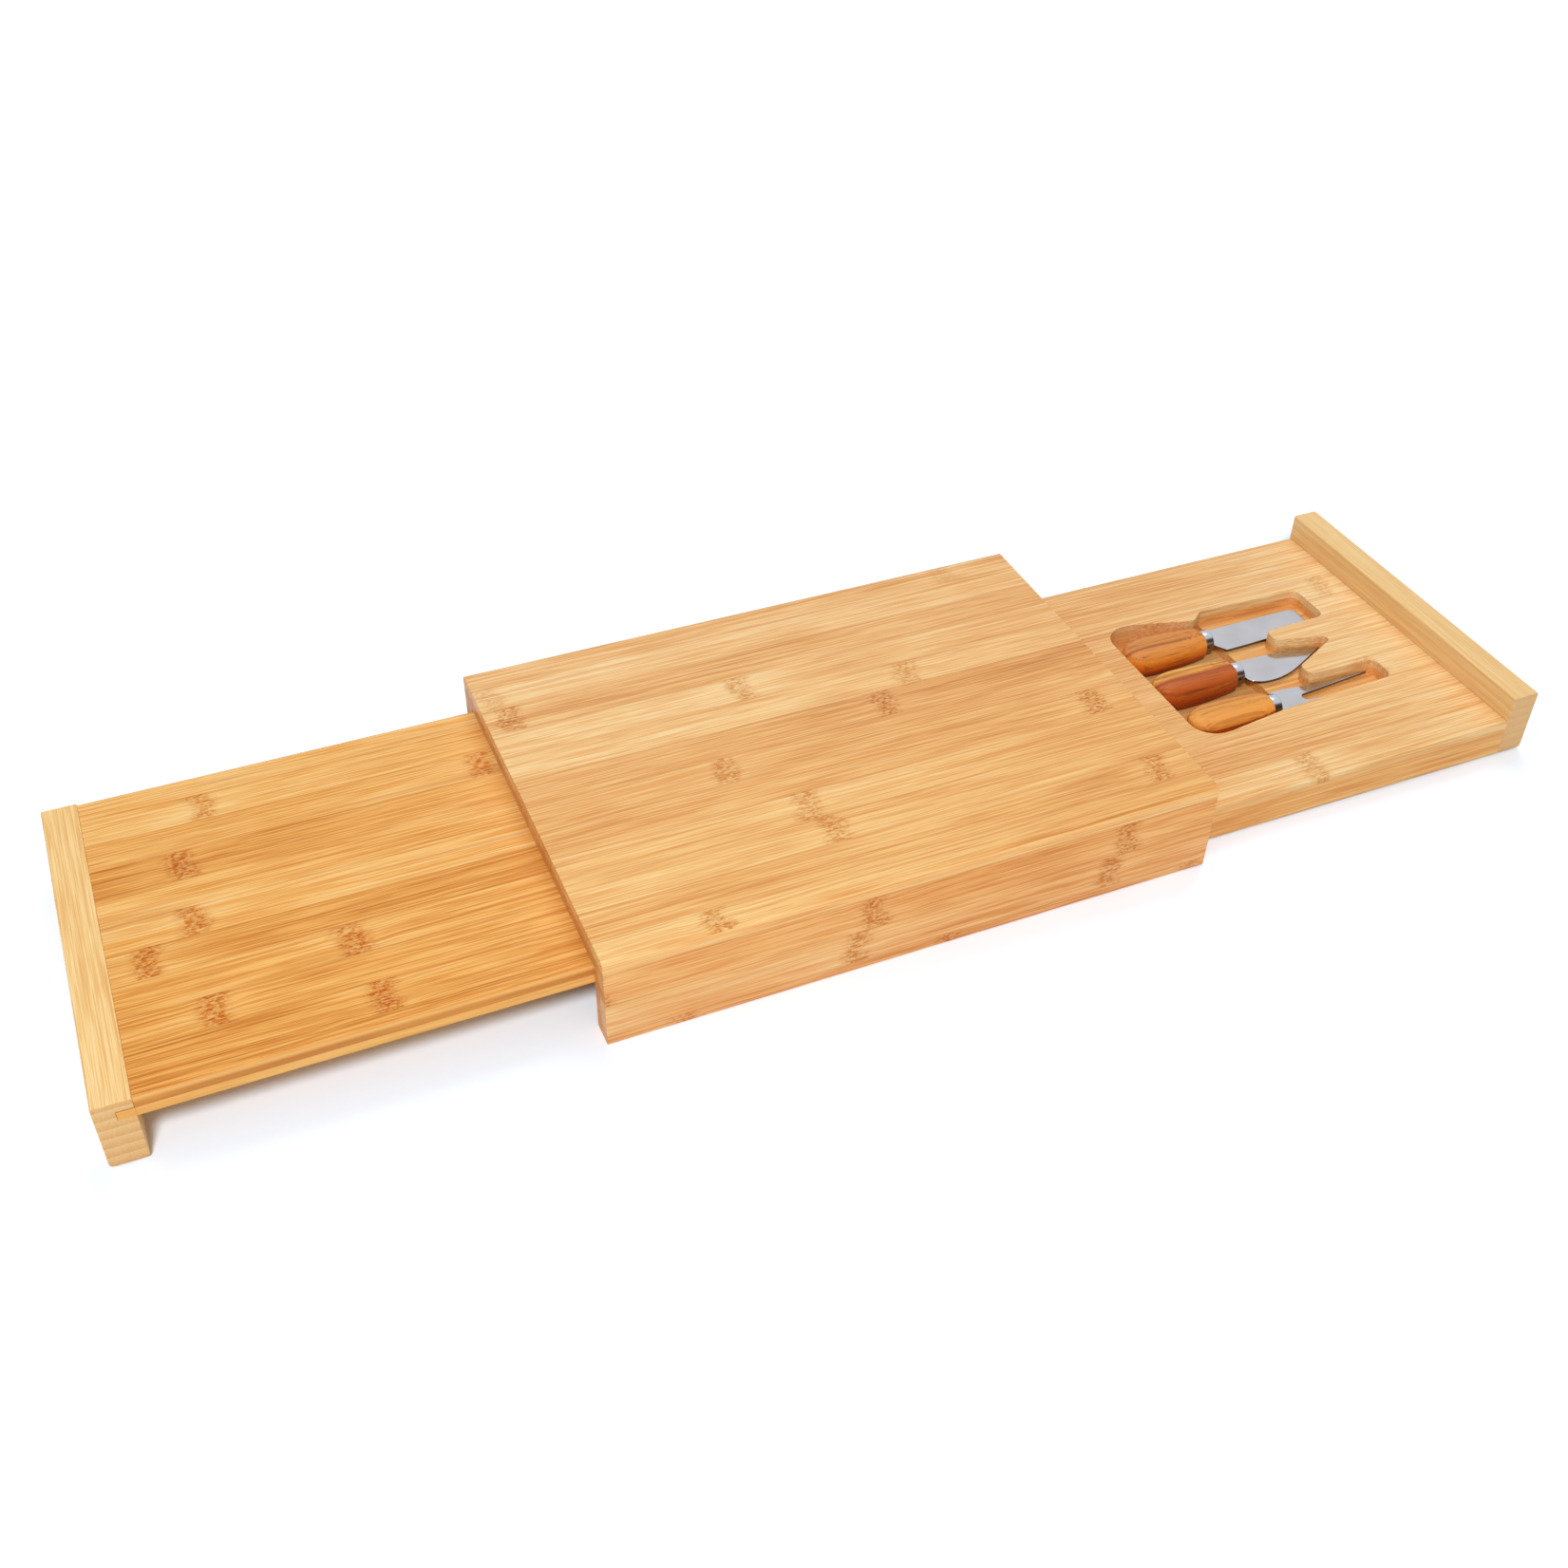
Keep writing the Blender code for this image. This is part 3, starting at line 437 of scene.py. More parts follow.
trayLook = dict(
    bambooLook, low=-0.12, span=(-0.40, -0.17), plySpan=(0.0295, 0.041), seed=2.2, wide=0.62, fine=0.46, hair=0.30,
    patch=0.46, streakColour=tint(206, 126, 50), plies=[(0.0, 0.66, 0), (0.46, 0.4, 1)], warm=0.30,
    # the tray's side carries a painted highlight along its top edge
    side=0.1064, sideWarm=0.75, paintedSideHighlight=0.7, fibre=tint(160, 84, 24), node=(0.66, 0.33, 0.05), stain=0.42,
    nodeDark=0.60,
    palette=palette((0.00, 190, 108, 38), (0.30, 218, 144, 64), (0.55, 239, 173, 91), (0.80, 248, 194, 117),
                    (1.00, 252, 211, 145)),
    strips=[
        (0.40, 0.42, 0.5, 0.0), (0.42, 0.50, 0.583, 1.0), (0.42, 0.54, 0.257, 1.0), (0.52, 0.52, 0.557, 1.0),
        (0.46, 0.46, 0.161, 1.0), (0.68, 0.68, 0.257, 1.0), (0.64, 0.62, 0.9, 0.0), (0.30, 0.54, 0.261, 1.0),
        (0.54, 0.62, 0.957, 1.0), (0.74, 0.66, 0.339, 0.8), (0.66, 0.66, 0.5, 0.0)])
trayBamboo = bambooStock("tray_bamboo", trayLook)
drawerLook = dict(
    bambooLook, low=-0.107, span=(0.17, 0.40), plySpan=(0.0015, 0.0245), seed=3.1, warm=0.2, plyWarm=0.75,
    plies=[(0.0, 0.70, 0), (0.17, 0.60, 0), (0.78, 0.40, 1)],
    # the strips grow lighter from the block's end towards the end rail: the darker left is painted shade of the block,
    # the lighter right is painted light where the end rail's shadow falls
    strips=[
        (0.66, 0.70, 0.37, 0.7), (0.40, 0.66, 0.5, 0.0), (0.53, 0.70, 0.5, 0.0), (0.48, 0.80, 0.76, 0.5),
        (0.50, 0.84, 0.5, 0.0), (0.46, 0.84, 0.5, 0.0), (0.44, 0.86, 0.5, 0.0), (0.52, 0.82, 0.86, 0.6),
        (0.42, 0.76, 0.5, 0.0), (0.50, 0.70, 0.5, 0.0), (0.50, 0.70, 0.5, 0.0)])
drawerBamboo = bambooStock("drawer_bamboo", drawerLook)
paleLook = dict(
    bambooLook, axes="yxz", pitch=0.009, low=-0.4, span=(-0.11, 0.11), plySpan=(0.0015, 0.0415),
    plies=[(0.0, 0.5, 0)], plyPitch=0.0061, plyShade=0.45, seed=4.4, wide=0.35, fine=0.50, patch=0.20, hair=0.25,
    streak=0.0, warm=0.0, seam=0.0, ends=0.1064, endWarm=0.9, fibre=tint(218, 158, 82),
    palette=palette((0.00, 220, 162, 92), (0.35, 242, 194, 124), (0.65, 251, 213, 148), (1.00, 255, 229, 178)),
    strips=[(0.5, 0.5, 0, 0), (0.5, 0.5, 0, 0)])
trayRailBamboo = bambooStock("tray_rail_bamboo", paleLook)
drawerRailLook = dict(
    paleLook, low=0.3835, seed=5.2, fine=0.3, plyShade=0.2,
    palette=palette((0.0, 222, 170, 104), (0.4, 240, 196, 132), (0.7, 248, 212, 152), (1.0, 252, 226, 176)))
drawerRailBamboo = bambooStock("drawer_rail_bamboo", drawerRailLook)
print("bamboo ready")


# block: top board and two side rails, joined by a lock mitre along the long edges
block = {
    "length": 0.340, "width": 0.243, "height": 0.055,
    "board": 0.0135, "rail": 0.0145,
    "edgeRound": 0.003, "footRound": 0.0012, "ease": 0.0003, "seam": 0.00003,
    "mitreRound": 0.0002, "boardInnerRound": 0.0003, "footInnerRound": 0.0005, "railInnerRound": 0.0004,
    "mitre": [(0.28, 0.28), (0.50, 0.23), (0.45, 0.62), (0.62, 0.62)],
    "grooveRadius": 0.003, "grooveRound": 0.98, "grooveDepth": 0.0042, "grooveOverrun": 0.004,
    "grooves": [(-0.0895, 0.1405, 0.03525), (-0.139, 0.091, 0.013)],
}
halfLength, halfWidth = block["length"] / 2, block["width"] / 2
bayHeight = block["height"] - block["board"]
railInner = halfWidth - block["rail"]


# the zigzag of the back corner in (y, z), from the outside in
def mitreLine(shift):
    share = np.array(block["mitre"])
    inward = share[:, 0] * block["rail"] + shift
    down = share[:, 1] * block["board"] - shift
    return np.stack([halfWidth - inward, block["height"] - down], axis=1)


# part of the rounded long edge of the back corner, angles from the side face up
def edgeArc(low, high):
    angle = np.radians(np.linspace(low, high, quality["cornerSteps"] + 1))
    centre = np.array([halfWidth, block["height"]]) - block["edgeRound"]
    return centre + block["edgeRound"] * np.stack([np.cos(angle), np.sin(angle)], axis=1)


# corners (a, b, radius) from points (a, b)
def withRadius(points, radius=0.0):
    return [(a, b, radius) for a, b in np.asarray(points).tolist()]


# underside, the mitre's zigzag up the right side, the upper half of the edge's arc, and its mirror image
def boardProfile():
    mitre, inner = withRadius(mitreLine(0.0)[::-1], block["mitreRound"]), block["boardInnerRound"]
    arc = withRadius(edgeArc(45, 90))
    rightSide = mitre + arc + [(arc[-1][0] - quality["guard"], block["height"], 0.0)]
    leftSide = [(-a, b, r) for a, b, r in reversed(rightSide)]
    return [(-railInner, bayHeight, inner), (railInner, bayHeight, inner)] + rightSide + leftSide


# foot, outer face, the lower half of the edge's arc, the zigzag down to the bay and the inner face
def railProfile(side):
    shift = block["seam"]
    arc = withRadius(edgeArc(0, 45))
    outline = [(railInner, 0, block["footInnerRound"]), (halfWidth, 0, block["footRound"])]
    outline += [(halfWidth, arc[0][1] - quality["guard"], 0.0)] + arc
    outline += withRadius(mitreLine(shift), block["mitreRound"])
    outline.append((railInner, bayHeight - shift, block["railInnerRound"]))
    return [(a * side, b, r) for a, b, r in outline]


# a stopped groove with round ends in the inner face, for a guide pin
def pinGroove(lowX, highX, height, side):
    radius = block["grooveRadius"]
    low, high, soft = height - radius, height + radius, radius * block["grooveRound"]
    corners = [(lowX - radius, low, soft), (highX + radius, low, soft),
               (highX + radius, high, soft), (lowX - radius, high, soft)]
    span = [side * (railInner + block["grooveDepth"]), side * (railInner - block["grooveOverrun"])]
    return bodyOfRings(carryProfile(corners, "y", span, [0.0, 0.0], 0.0))


addPiece("topBoard", *softBar(boardProfile(), "x", halfLength, block["ease"]), bamboo, "block", "top_board", "bamboo")
for side, label in ((-1, "front"), (1, "back")):
    grooves = [pinGroove(*groove, side) for groove in block["grooves"]]
    addPiece(label + "Rail", *softBar(railProfile(side), "x", halfLength, block["ease"]), railBamboo, "block",
             label + "_side_rail", "bamboo", grooves)
print("block ready")


# tray: a slab with a tongue under the end rail, which is also its foot
tray = {
    "left": -0.400, "railWidth": 0.018, "tail": -0.0775, "top": 0.041, "thickness": 0.0115, "halfWidth": 0.1064,
    "edgeRound": 0.0026, "tongue": 0.0082, "tongueGap": 0.0001, "foot": 0.0015, "railRound": 0.0018,
    "railEase": 0.0005, "railTopRound": 0.0009, "ease": 0.0003, "seam": 0.00004,
}
trayLow = tray["top"] - tray["thickness"]
trayMiddle = tray["top"] - tray["thickness"] / 2
trayRoot = tray["left"] + tray["railWidth"]


# a board's section in (y, z), rounder above than below
def slabProfile(half, low, high, edgeRound, ease):
    return [(-half, low, ease), (half, low, ease), (half, high, edgeRound), (-half, high, edgeRound)]


# the slab carried along x, and before it rings cut off at mid height, which are the tongue
def trayPanel():
    profile = slabProfile(tray["halfWidth"], trayLow, tray["top"], tray["edgeRound"], tray["ease"])
    stations, insets = softEnds(trayRoot, tray["tail"], tray["ease"])
    slab = carryProfile(profile, "x", stations[2:], insets[2:])
    tongueStart = trayRoot - tray["tongue"]
    tongueX = np.array([tongueStart, tongueStart, tongueStart + tray["ease"], trayRoot])
    tongue = carryProfile(profile, "x", tongueX, [tray["ease"] * 2, tray["ease"], 0.0, 0.0])
    tongue[..., 2] = np.minimum(tongue[..., 2], trayMiddle)
    slab[0, :, 0] = trayRoot
    return bodyOfRings(np.concatenate([tongue, slab]))


# the rail's section in (x, z): outer face, foot, and the groove that takes the tongue
def trayRailProfile():
    left, right = tray["left"], trayRoot
    seam, ease = tray["seam"], tray["railEase"]
    gapX = right - tray["tongue"] - tray["tongueGap"]
    return [
        (left, tray["foot"], tray["railRound"]), (right, tray["foot"], tray["railRound"]),
        (right, trayLow - seam, ease), (gapX, trayLow - seam, ease), (gapX, trayMiddle + seam, ease),
        (right - seam, trayMiddle + seam, ease), (right - seam, tray["top"], ease),
        (left, tray["top"], tray["railTopRound"])]


addPiece("trayPanel", *trayPanel(), trayBamboo, "tray", "tray_panel", "tray_bamboo")
addPiece("trayRail", *softBar(trayRailProfile(), "y", tray["halfWidth"], tray["ease"]), trayRailBamboo, "tray",
         "tray_end_rail", "pale_bamboo")
print("tray ready")


# drawer: a slab with a routed recess in two depths, and a taller end rail
drawer = {
    "tail": 0.079, "end": 0.3834, "right": 0.400, "railFoot": 0.3835, "low": 0.0015, "top": 0.0245,
    "halfWidth": 0.1064, "edgeRound": 0.0022, "railTop": 0.041, "railRound": 0.0018, "railEase": 0.0005,
    "railTopRound": 0.0011, "ease": 0.0004, "stepX": 0.2802, "pocketFloor": 0.0075, "slotFloor": 0.0140,
    "rimRound": 0.0005, "rimGuard": 0.0003, "rimSteps": 6, "loopSteps": 10,
}
knifeRows = {"fork": -0.0348, "heart": 0.0005, "slicer": 0.0358}

# corners of the recess seen from above, round from the front left one: x, the knife beside it,
# how far back from that knife's line, and the radius
recess = [
    (0.2112, "fork", -0.0178, 0.0145), (0.2312, "fork", -0.0178, 0.0145), (0.2712, "fork", -0.0124, 0.0300),
    (0.3500, "fork", -0.0090, 0.0055), (0.3500, "fork", 0.0090, 0.0055), (0.3046, "fork", 0.0101, 0.0038),
    (0.3046, "heart", -0.0157, 0.0038), (0.3369, "heart", 0.0, 0.0019), (0.3369, "heart", 0.0042, 0.0019),
    (0.3058, "heart", 0.0114, 0.0045), (0.3058, "slicer", -0.01305, 0.0045), (0.3500, "slicer", -0.0125, 0.0055),
    (0.3500, "slicer", 0.0175, 0.0055), (0.2802, "slicer", 0.0198, 0.0030), (0.2712, "slicer", 0.0128, 0.0030),
    (0.2312, "slicer", 0.0234, 0.0080), (0.2112, "slicer", 0.0234, 0.0145)]


# the loop with a point wherever it crosses the step between pocket and slots
def splitAtStep(loop, stepX):
    after = np.roll(loop, -1, axis=0)
    crosses = np.nonzero((loop[:, 0] - stepX) * (after[:, 0] - stepX) < 0)[0]
    share = (stepX - loop[crosses, 0]) / (after[crosses, 0] - loop[crosses, 0])
    points = loop[crosses] + (after[crosses] - loop[crosses]) * share[:, None]
    points[:, 0] = stepX
    return np.insert(loop, crosses + 1, points, axis=0)


# slab with one flat quad of its top left out, the recess rim as loops sinking to the walls, and flat floors
def drawerPanel():
    half, top = drawer["halfWidth"], drawer["top"]
    corners = slabProfile(half, drawer["low"], top, drawer["edgeRound"], drawer["ease"])
    profile = roundCorners(corners)
    stations, insets = softEnds(drawer["tail"], drawer["end"], drawer["ease"])
    rings = carryProfile(corners, "x", stations, insets)
    count, sides = rings.shape[:2]
    points, faces = bodyOfRings(rings)
    onTop = np.nonzero(np.abs(profile[:, 1] - top) < quality["near"])[0]
    onTop = onTop[np.argsort(profile[onTop, 0])]
    inner = onTop[np.abs(profile[onTop, 0]) < half - drawer["edgeRound"] - quality["near"]]
    near, far = int(inner[0]), int(inner[-1])
    left, right = (quality["endSteps"] + 1) * sides, (count - quality["endSteps"] - 2) * sides
    gap = [left + near, right + near, right + far, left + far]
    faces = [face for face in faces if set(face) != set(gap)]

    edges = [(x, knifeRows[row] + back, radius) for x, row, back, radius in recess]
    loop = splitAtStep(roundCorners(edges, drawer["rimGuard"], drawer["loopSteps"], True), drawer["stepX"])
    outward, bulge = outwardOf(loop)
    rim, guard = drawer["rimRound"], drawer["rimGuard"]
    out, down = quarter(rim, drawer["rimSteps"])
    spread = np.concatenate([[rim + guard], out, [0.0, 0.0]])
    depth = np.concatenate([[0.0], down, [rim + guard, top - drawer["slotFloor"]]])
    walls = np.concatenate([loop[None] + spread[:, None, None] * outward[None],
                            np.broadcast_to(top - depth[:, None, None], (len(depth), len(loop), 1))], axis=-1)
    base = len(points)
    ringCount, loopSides = walls.shape[:2]
    faces += gridQuads(ringCount, loopSides, True, base).tolist()
    points = np.concatenate([points, walls.reshape(-1, 3)])
    bottom = base + (ringCount - 1) * loopSides

    hole = [Vector((*point, 0.0)) for point in walls[0, :, :2]]
    edge = [Vector((points[index][0], points[index][1], 0.0)) for index in gap]
    numbers = gap + list(range(base, base + loopSides))
    for triangle in tessellate_polygon([edge, hole]):
        faces.append([numbers[index] for index in triangle])

    crossing = np.nonzero(loop[:, 0] == drawer["stepX"])[0]
    first, second = int(crossing[0]), int(crossing[-1])
    slotPart = list(range(first, second + 1))
    pocketPart = list(range(second, loopSides)) + list(range(0, first + 1))
    faces.append([bottom + index for index in slotPart])
    deep = np.concatenate([loop[pocketPart], np.full((len(pocketPart), 1), drawer["pocketFloor"])], axis=1)
    deepBase = len(points)
    points = np.concatenate([points, deep])
    steps = np.arange(len(pocketPart) - 1)
    upper = bottom + np.array(pocketPart)
    faces += np.stack([upper[:-1], upper[1:], deepBase + steps + 1, deepBase + steps], axis=1).tolist()
    faces.append([deepBase + index for index in range(len(pocketPart))])
    faces.append([bottom + first, bottom + second, deepBase, deepBase + len(pocketPart) - 1])
    return points, faces


# the rail's section in (x, z)
def drawerRailProfile():
    left, right, topRound = drawer["railFoot"], drawer["right"], drawer["railTopRound"]
    return [
        (left, drawer["low"], drawer["railEase"]), (right, drawer["low"], drawer["railRound"]),
        (right, drawer["railTop"], topRound), (left, drawer["railTop"], topRound)]


addPiece("drawerPanel", *drawerPanel(), drawerBamboo, "drawer", "drawer_panel", "bamboo")
addPiece("drawerRail", *softBar(drawerRailProfile(), "y", drawer["halfWidth"], drawer["ease"]), drawerRailBamboo,
         "drawer", "drawer_end_rail", "pale_bamboo")
print("drawer ready")


# knives: squared oval handle, turned ferrule and thin blade
knife = {
    "gripLength": 0.0548, "width": 0.023, "thickness": 0.0175, "buttRound": 0.017, "neckWidth": 0.0184,
    "neckThickness": 0.93, "neckRound": 0.0022, "square": 0.48, "neckSquare": 0.33, "buttFlat": 0.3,
    "taper": 2.2, "ferruleLength": 0.0057, "ferruleDiameter": 0.014595, "ferruleWall": 0.0009,
    "ferruleLip": 0.0006, "ferruleSeam": 0.0001, "ferruleFace": 0.0002, "bladeThickness": 0.0014, "bladeEase": 0.0002,
    "axisZ": 0.01655, "buttRings": 28, "gripRings": 40, "neckRings": 9, "gripSides": 72, "turnedSides": 64,
    "lipSteps": 6, "bendSteps": 24,
}
buttX = {"fork": 0.2141, "heart": 0.2120, "slicer": 0.2135}

# what each handle's wood shows: colours from its near side to its far side on the back, colours from the underside up
# on the flanks, which darken downwards as painted shade, and how strongly it is mottled towards the ferrule; the back's
# lighter colour is partly painted light
woods = {
    "slicer": {
        "seed": 1.3, "paintedShadeLine": 0.80, "mottle": 0.60, "flame": tint(244, 156, 60), "streak": tint(146, 76, 30),
        "back": palette((0.10, 226, 142, 62), (0.32, 224, 144, 68), (0.41, 160, 82, 30), (0.50, 216, 138, 64),
                        (0.80, 222, 146, 72), (1.0, 206, 130, 66)),
        "flankAndPaintedShade": palette((0.10, 88, 16, 1), (0.34, 184, 74, 12), (0.54, 242, 130, 34), (0.74, 255, 166, 64),
                         (0.95, 246, 158, 72))},
    "heart": {
        "seed": 5.9, "paintedShadeLine": 0.72, "mottle": 0.70, "flame": tint(192, 88, 26), "streak": tint(128, 54, 16),
        "back": palette((0.0, 186, 84, 22), (0.36, 198, 100, 32), (0.49, 160, 66, 14), (0.60, 232, 156, 62),
                        (0.80, 250, 182, 84), (1.0, 232, 156, 68)),
        "flankAndPaintedShade": palette((0.08, 130, 38, 6), (0.36, 172, 66, 14), (0.60, 204, 98, 34), (0.84, 226, 132, 62),
                         (1.0, 214, 120, 52))},
    "fork": {
        "seed": 9.2, "paintedShadeLine": 0.84, "mottle": 0.60, "flame": tint(250, 162, 58), "streak": tint(178, 98, 38),
        "back": palette((0.0, 238, 154, 64), (0.30, 238, 160, 72), (0.62, 232, 160, 72), (1.0, 212, 138, 62)),
        "flankAndPaintedShade": palette((0.08, 110, 26, 3), (0.50, 150, 50, 6), (0.72, 176, 76, 16), (0.78, 242, 158, 66),
                         (1.0, 240, 160, 70))},
}

# the wood's figure: waves per metre along, across and up for each noise, and spans
woodFigure = {
    "drift": (22, 60, 60), "wide": (11, 420, 260), "fine": (45, 1900, 1300), "fleck": (420, 620, 620),
    "driftSpread": 0.16, "flankDrift": 0.6, "flankSpread": 0.22, "paintedShadeLineDrift": 0.4, "paintedShadeLine": (-0.05, 0.07),
    "wideLines": (0.54, 0.64), "wideShare": 0.50, "fineLines": (0.52, 0.66), "fineShare": 0.40,
    "flecks": (0.48, 0.62), "fleckAlong": (0.45, 0.85), "fleckUp": (0.36, 0.56), "fineRelief": 0.6, "wideRelief": 0.4,
    "bump": (0.00006, 0.35), "roughness": 0.34, "roughSpread": 0.16, "specular": 0.22,
}


# level runs from 0 under the handle to 1 on its back, share from 0 at its near side to 1 at its far side
def handleWood(label):
    look, wood = woods[label], woodFigure
    finish = Finish(label + "_wood")
    blend, smooth = finish.blend, finish.smooth
    x, y, z = finish.parts()

    def grain(kind, detail=2.0, roughness=0.5):
        perX, perY, perZ = wood[kind]
        return finish.noise(x * perX + look["seed"], y * perY, z * perZ, detail, roughness)

    level = (z - knife["axisZ"]) / knife["thickness"] + 0.5
    share = (y - knifeRows[label]) / knife["width"] + 0.5
    toFerrule = (x - buttX[label]) / knife["gripLength"]
    drift = (grain("drift", 1.0) - 0.5) * wood["driftSpread"]
    wide, fine, fleck = grain("wide", roughness=0.6), grain("fine", roughness=0.6), grain("fleck", roughness=0.7)
    back = finish.ramp(share + drift, look["back"])
    # flank colours go from painted shade at the underside up to bright orange below the back
    flankAndPaintedShade = finish.ramp(level + drift * wood["flankDrift"] + (wide - 0.5) * wood["flankSpread"], look["flankAndPaintedShade"])
    # above this painted shade line the back's colours take over from the shaded flank
    paintedShadeLine = [look["paintedShadeLine"] + offset for offset in wood["paintedShadeLine"]]
    colour = blend(smooth(level + drift * wood["paintedShadeLineDrift"], *paintedShadeLine), flankAndPaintedShade, back)
    lines = smooth(wide, *wood["wideLines"]) * wood["wideShare"]
    lines = lines + smooth(fine, *wood["fineLines"]) * wood["fineShare"]
    colour = blend(lines, colour, look["streak"])
    patch = smooth(toFerrule, *wood["fleckAlong"]) * smooth(level, *wood["fleckUp"])
    colour = blend(smooth(fleck, *wood["flecks"]) * patch * look["mottle"], colour, look["flame"])
    height = fine * wood["fineRelief"] + wide * wood["wideRelief"]
    return finish.surface(
        Base_Color=colour, Roughness=wood["roughness"] + fine * wood["roughSpread"],
        Normal=finish.bump(height, *wood["bump"]), Specular_IOR_Level=wood["specular"])


steels = {
    "blade": {
        # a blade's dark rim is painted shade and dark reflection on its edge faces
        "roughness": 0.13, "lines": (900, 60, 60), "rim": tint(66, 52, 54), "paintedRimShadeSpan": (0.00048, 0.00066),
        "tone": palette((0.3, 186, 186, 191), (0.7, 194, 194, 200))},
    # a ferrule's tones by height are a painted reflection: brownish below, a dark band, and a bright bluish painted
    # highlight on top; its rims are painted shade on the lips
    "ferrule": {
        "roughness": 0.17, "lines": (60, 900, 900), "rim": tint(72, 62, 60), "paintedRimShadeSpan": (0.0023, 0.0027),
        "tone": palette((0.05, 96, 56, 40), (0.34, 112, 100, 96), (0.60, 150, 146, 146), (0.72, 122, 112, 110),
                        (0.79, 66, 54, 52), (0.86, 72, 62, 60), (0.92, 188, 194, 204))},
    "cloud": 60, "cloudTone": 0.06, "paintedRimShadeShare": 0.85, "roughSpread": 0.08, "bump": (0.00001, 0.3),
}


# brushed and polished, with dark rims of painted shade on a blade's edge faces and a ferrule's lips; a ferrule's
# colours go by height as a painted reflection with a painted highlight on top, a blade's by a faint cloud
def steel(kind, label):
    look = steels[kind]
    finish = Finish(label + "_steel")
    x, y, z = finish.parts()
    perX, perY, perZ = look["lines"]
    lines = finish.noise(x * perX, y * perY, z * perZ)
    cloud = finish.noise(x * steels["cloud"], y * steels["cloud"], z * steels["cloud"], detail=1.0)
    level = z - knife["axisZ"]
    if kind == "ferrule":
        # painted reflection: the ferrule's colour goes by height
        tone = level / knife["ferruleDiameter"] + 0.5 + (cloud - 0.5) * steels["cloudTone"]
        middle = buttX[label] + knife["gripLength"] + knife["ferruleLength"] / 2
        # painted shade on the lips at both ends
        rim = finish.smooth(finish.sum("ABSOLUTE", x - middle), *look["paintedRimShadeSpan"])
    else:
        tone = cloud
        # painted shade and dark reflection on the blade's edge faces
        rim = 1 - finish.smooth(finish.sum("ABSOLUTE", level), *look["paintedRimShadeSpan"])
    colour = finish.blend(rim * steels["paintedRimShadeShare"], finish.ramp(tone, look["tone"]), look["rim"])
    return finish.surface(
        Base_Color=colour, Metallic=1.0, Roughness=look["roughness"] + (lines - 0.5) * steels["roughSpread"],
        Normal=finish.bump(lines, *steels["bump"]))


bladeSteel = steel("blade", "blade")
print("knife finishes ready")


# ring at distance s from the butt: a squared ellipse, width and height falling off at butt, taper and neck
def handleRings():
    butt, neck, collar = knife["buttRound"], knife["neckRound"], knife["ferruleDiameter"]
    neckStart = knife["gripLength"] - neck
    s1 = quarter(butt, knife["buttRings"])[1]
    s2 = np.linspace(butt, neckStart, knife["gripRings"])[1:]
    s3 = neckStart + neck * np.sin(np.linspace(0, math.pi / 2, knife["neckRings"]))[1:]
    s = np.concatenate([s1, s2, s3])[:, None]
    angle = (2 * math.pi * np.arange(knife["gripSides"]) / knife["gripSides"])[None]
    endShare = np.sqrt(np.maximum(1 - (1 - np.minimum(s / butt, 1.0)) ** 2, 0.0))
    along = np.clip((s - butt) / (neckStart - butt), 0.0, 1.0) ** knife["taper"]
    width = knife["width"] + (knife["neckWidth"] - knife["width"]) * along
    height = knife["thickness"] * (1 + (knife["neckThickness"] - 1) * along)
    square = knife["square"] + (knife["neckSquare"] - knife["square"]) * along
    drop = 1 - np.sqrt(1 - np.clip((s - neckStart) / neck, 0.0, 1.0) ** 2)
    width = width + (collar - width) * drop
    height = height + (collar - height) * drop
    power = 1 - square * (1 - drop)
    y = width / 2 * endShare * np.sign(np.cos(angle)) * np.abs(np.cos(angle)) ** power
    z = height / 2 * endShare ** knife["buttFlat"] * np.sign(np.sin(angle)) * np.abs(np.sin(angle)) ** power
    return np.stack([np.broadcast_to(s, y.shape), y, z], axis=-1)


# a turned shape: each point (x, r) of the profile goes round the axis
def turned(profile):
    line, sides = np.array(profile, float), knife["turnedSides"]
    angle = 2 * math.pi * np.arange(sides) / sides
    x = np.broadcast_to(line[:, :1], (len(line), sides))
    return np.stack([x, line[:, 1:] * np.cos(angle), line[:, 1:] * np.sin(angle)], axis=-1)


# a cup open towards the grip, its two outer edges rounded by quarter circles into lips
def ferruleRings():
    start, end = knife["gripLength"] + knife["ferruleSeam"], knife["gripLength"] + knife["ferruleLength"]
    outer, wall, lip = knife["ferruleDiameter"] / 2, knife["ferruleWall"], knife["ferruleLip"]
    inwards, down = quarter(lip, knife["lipSteps"])
    back = np.stack([start + inwards, outer - down], axis=1)[::-1]
    front = np.stack([end - inwards, outer - down], axis=1)
    line = [(end - wall, 0.0), (end - wall, outer - wall), (start, outer - wall)]
    line += back.tolist() + front.tolist() + [(end, outer - lip - knife["ferruleFace"]), (end, 0.0)]
    return turned(line)


# quadratic curve a, b, c at t in 0 to 1
def bend(a, b, c):
    t = np.linspace(0, 1, knife["bendSteps"] + 1)[1:, None]
    a, b, c = np.array(a), np.array(b), np.array(c)
    return ((1 - t) ** 2 * a + 2 * t * (1 - t) * b + t * t * c).tolist()


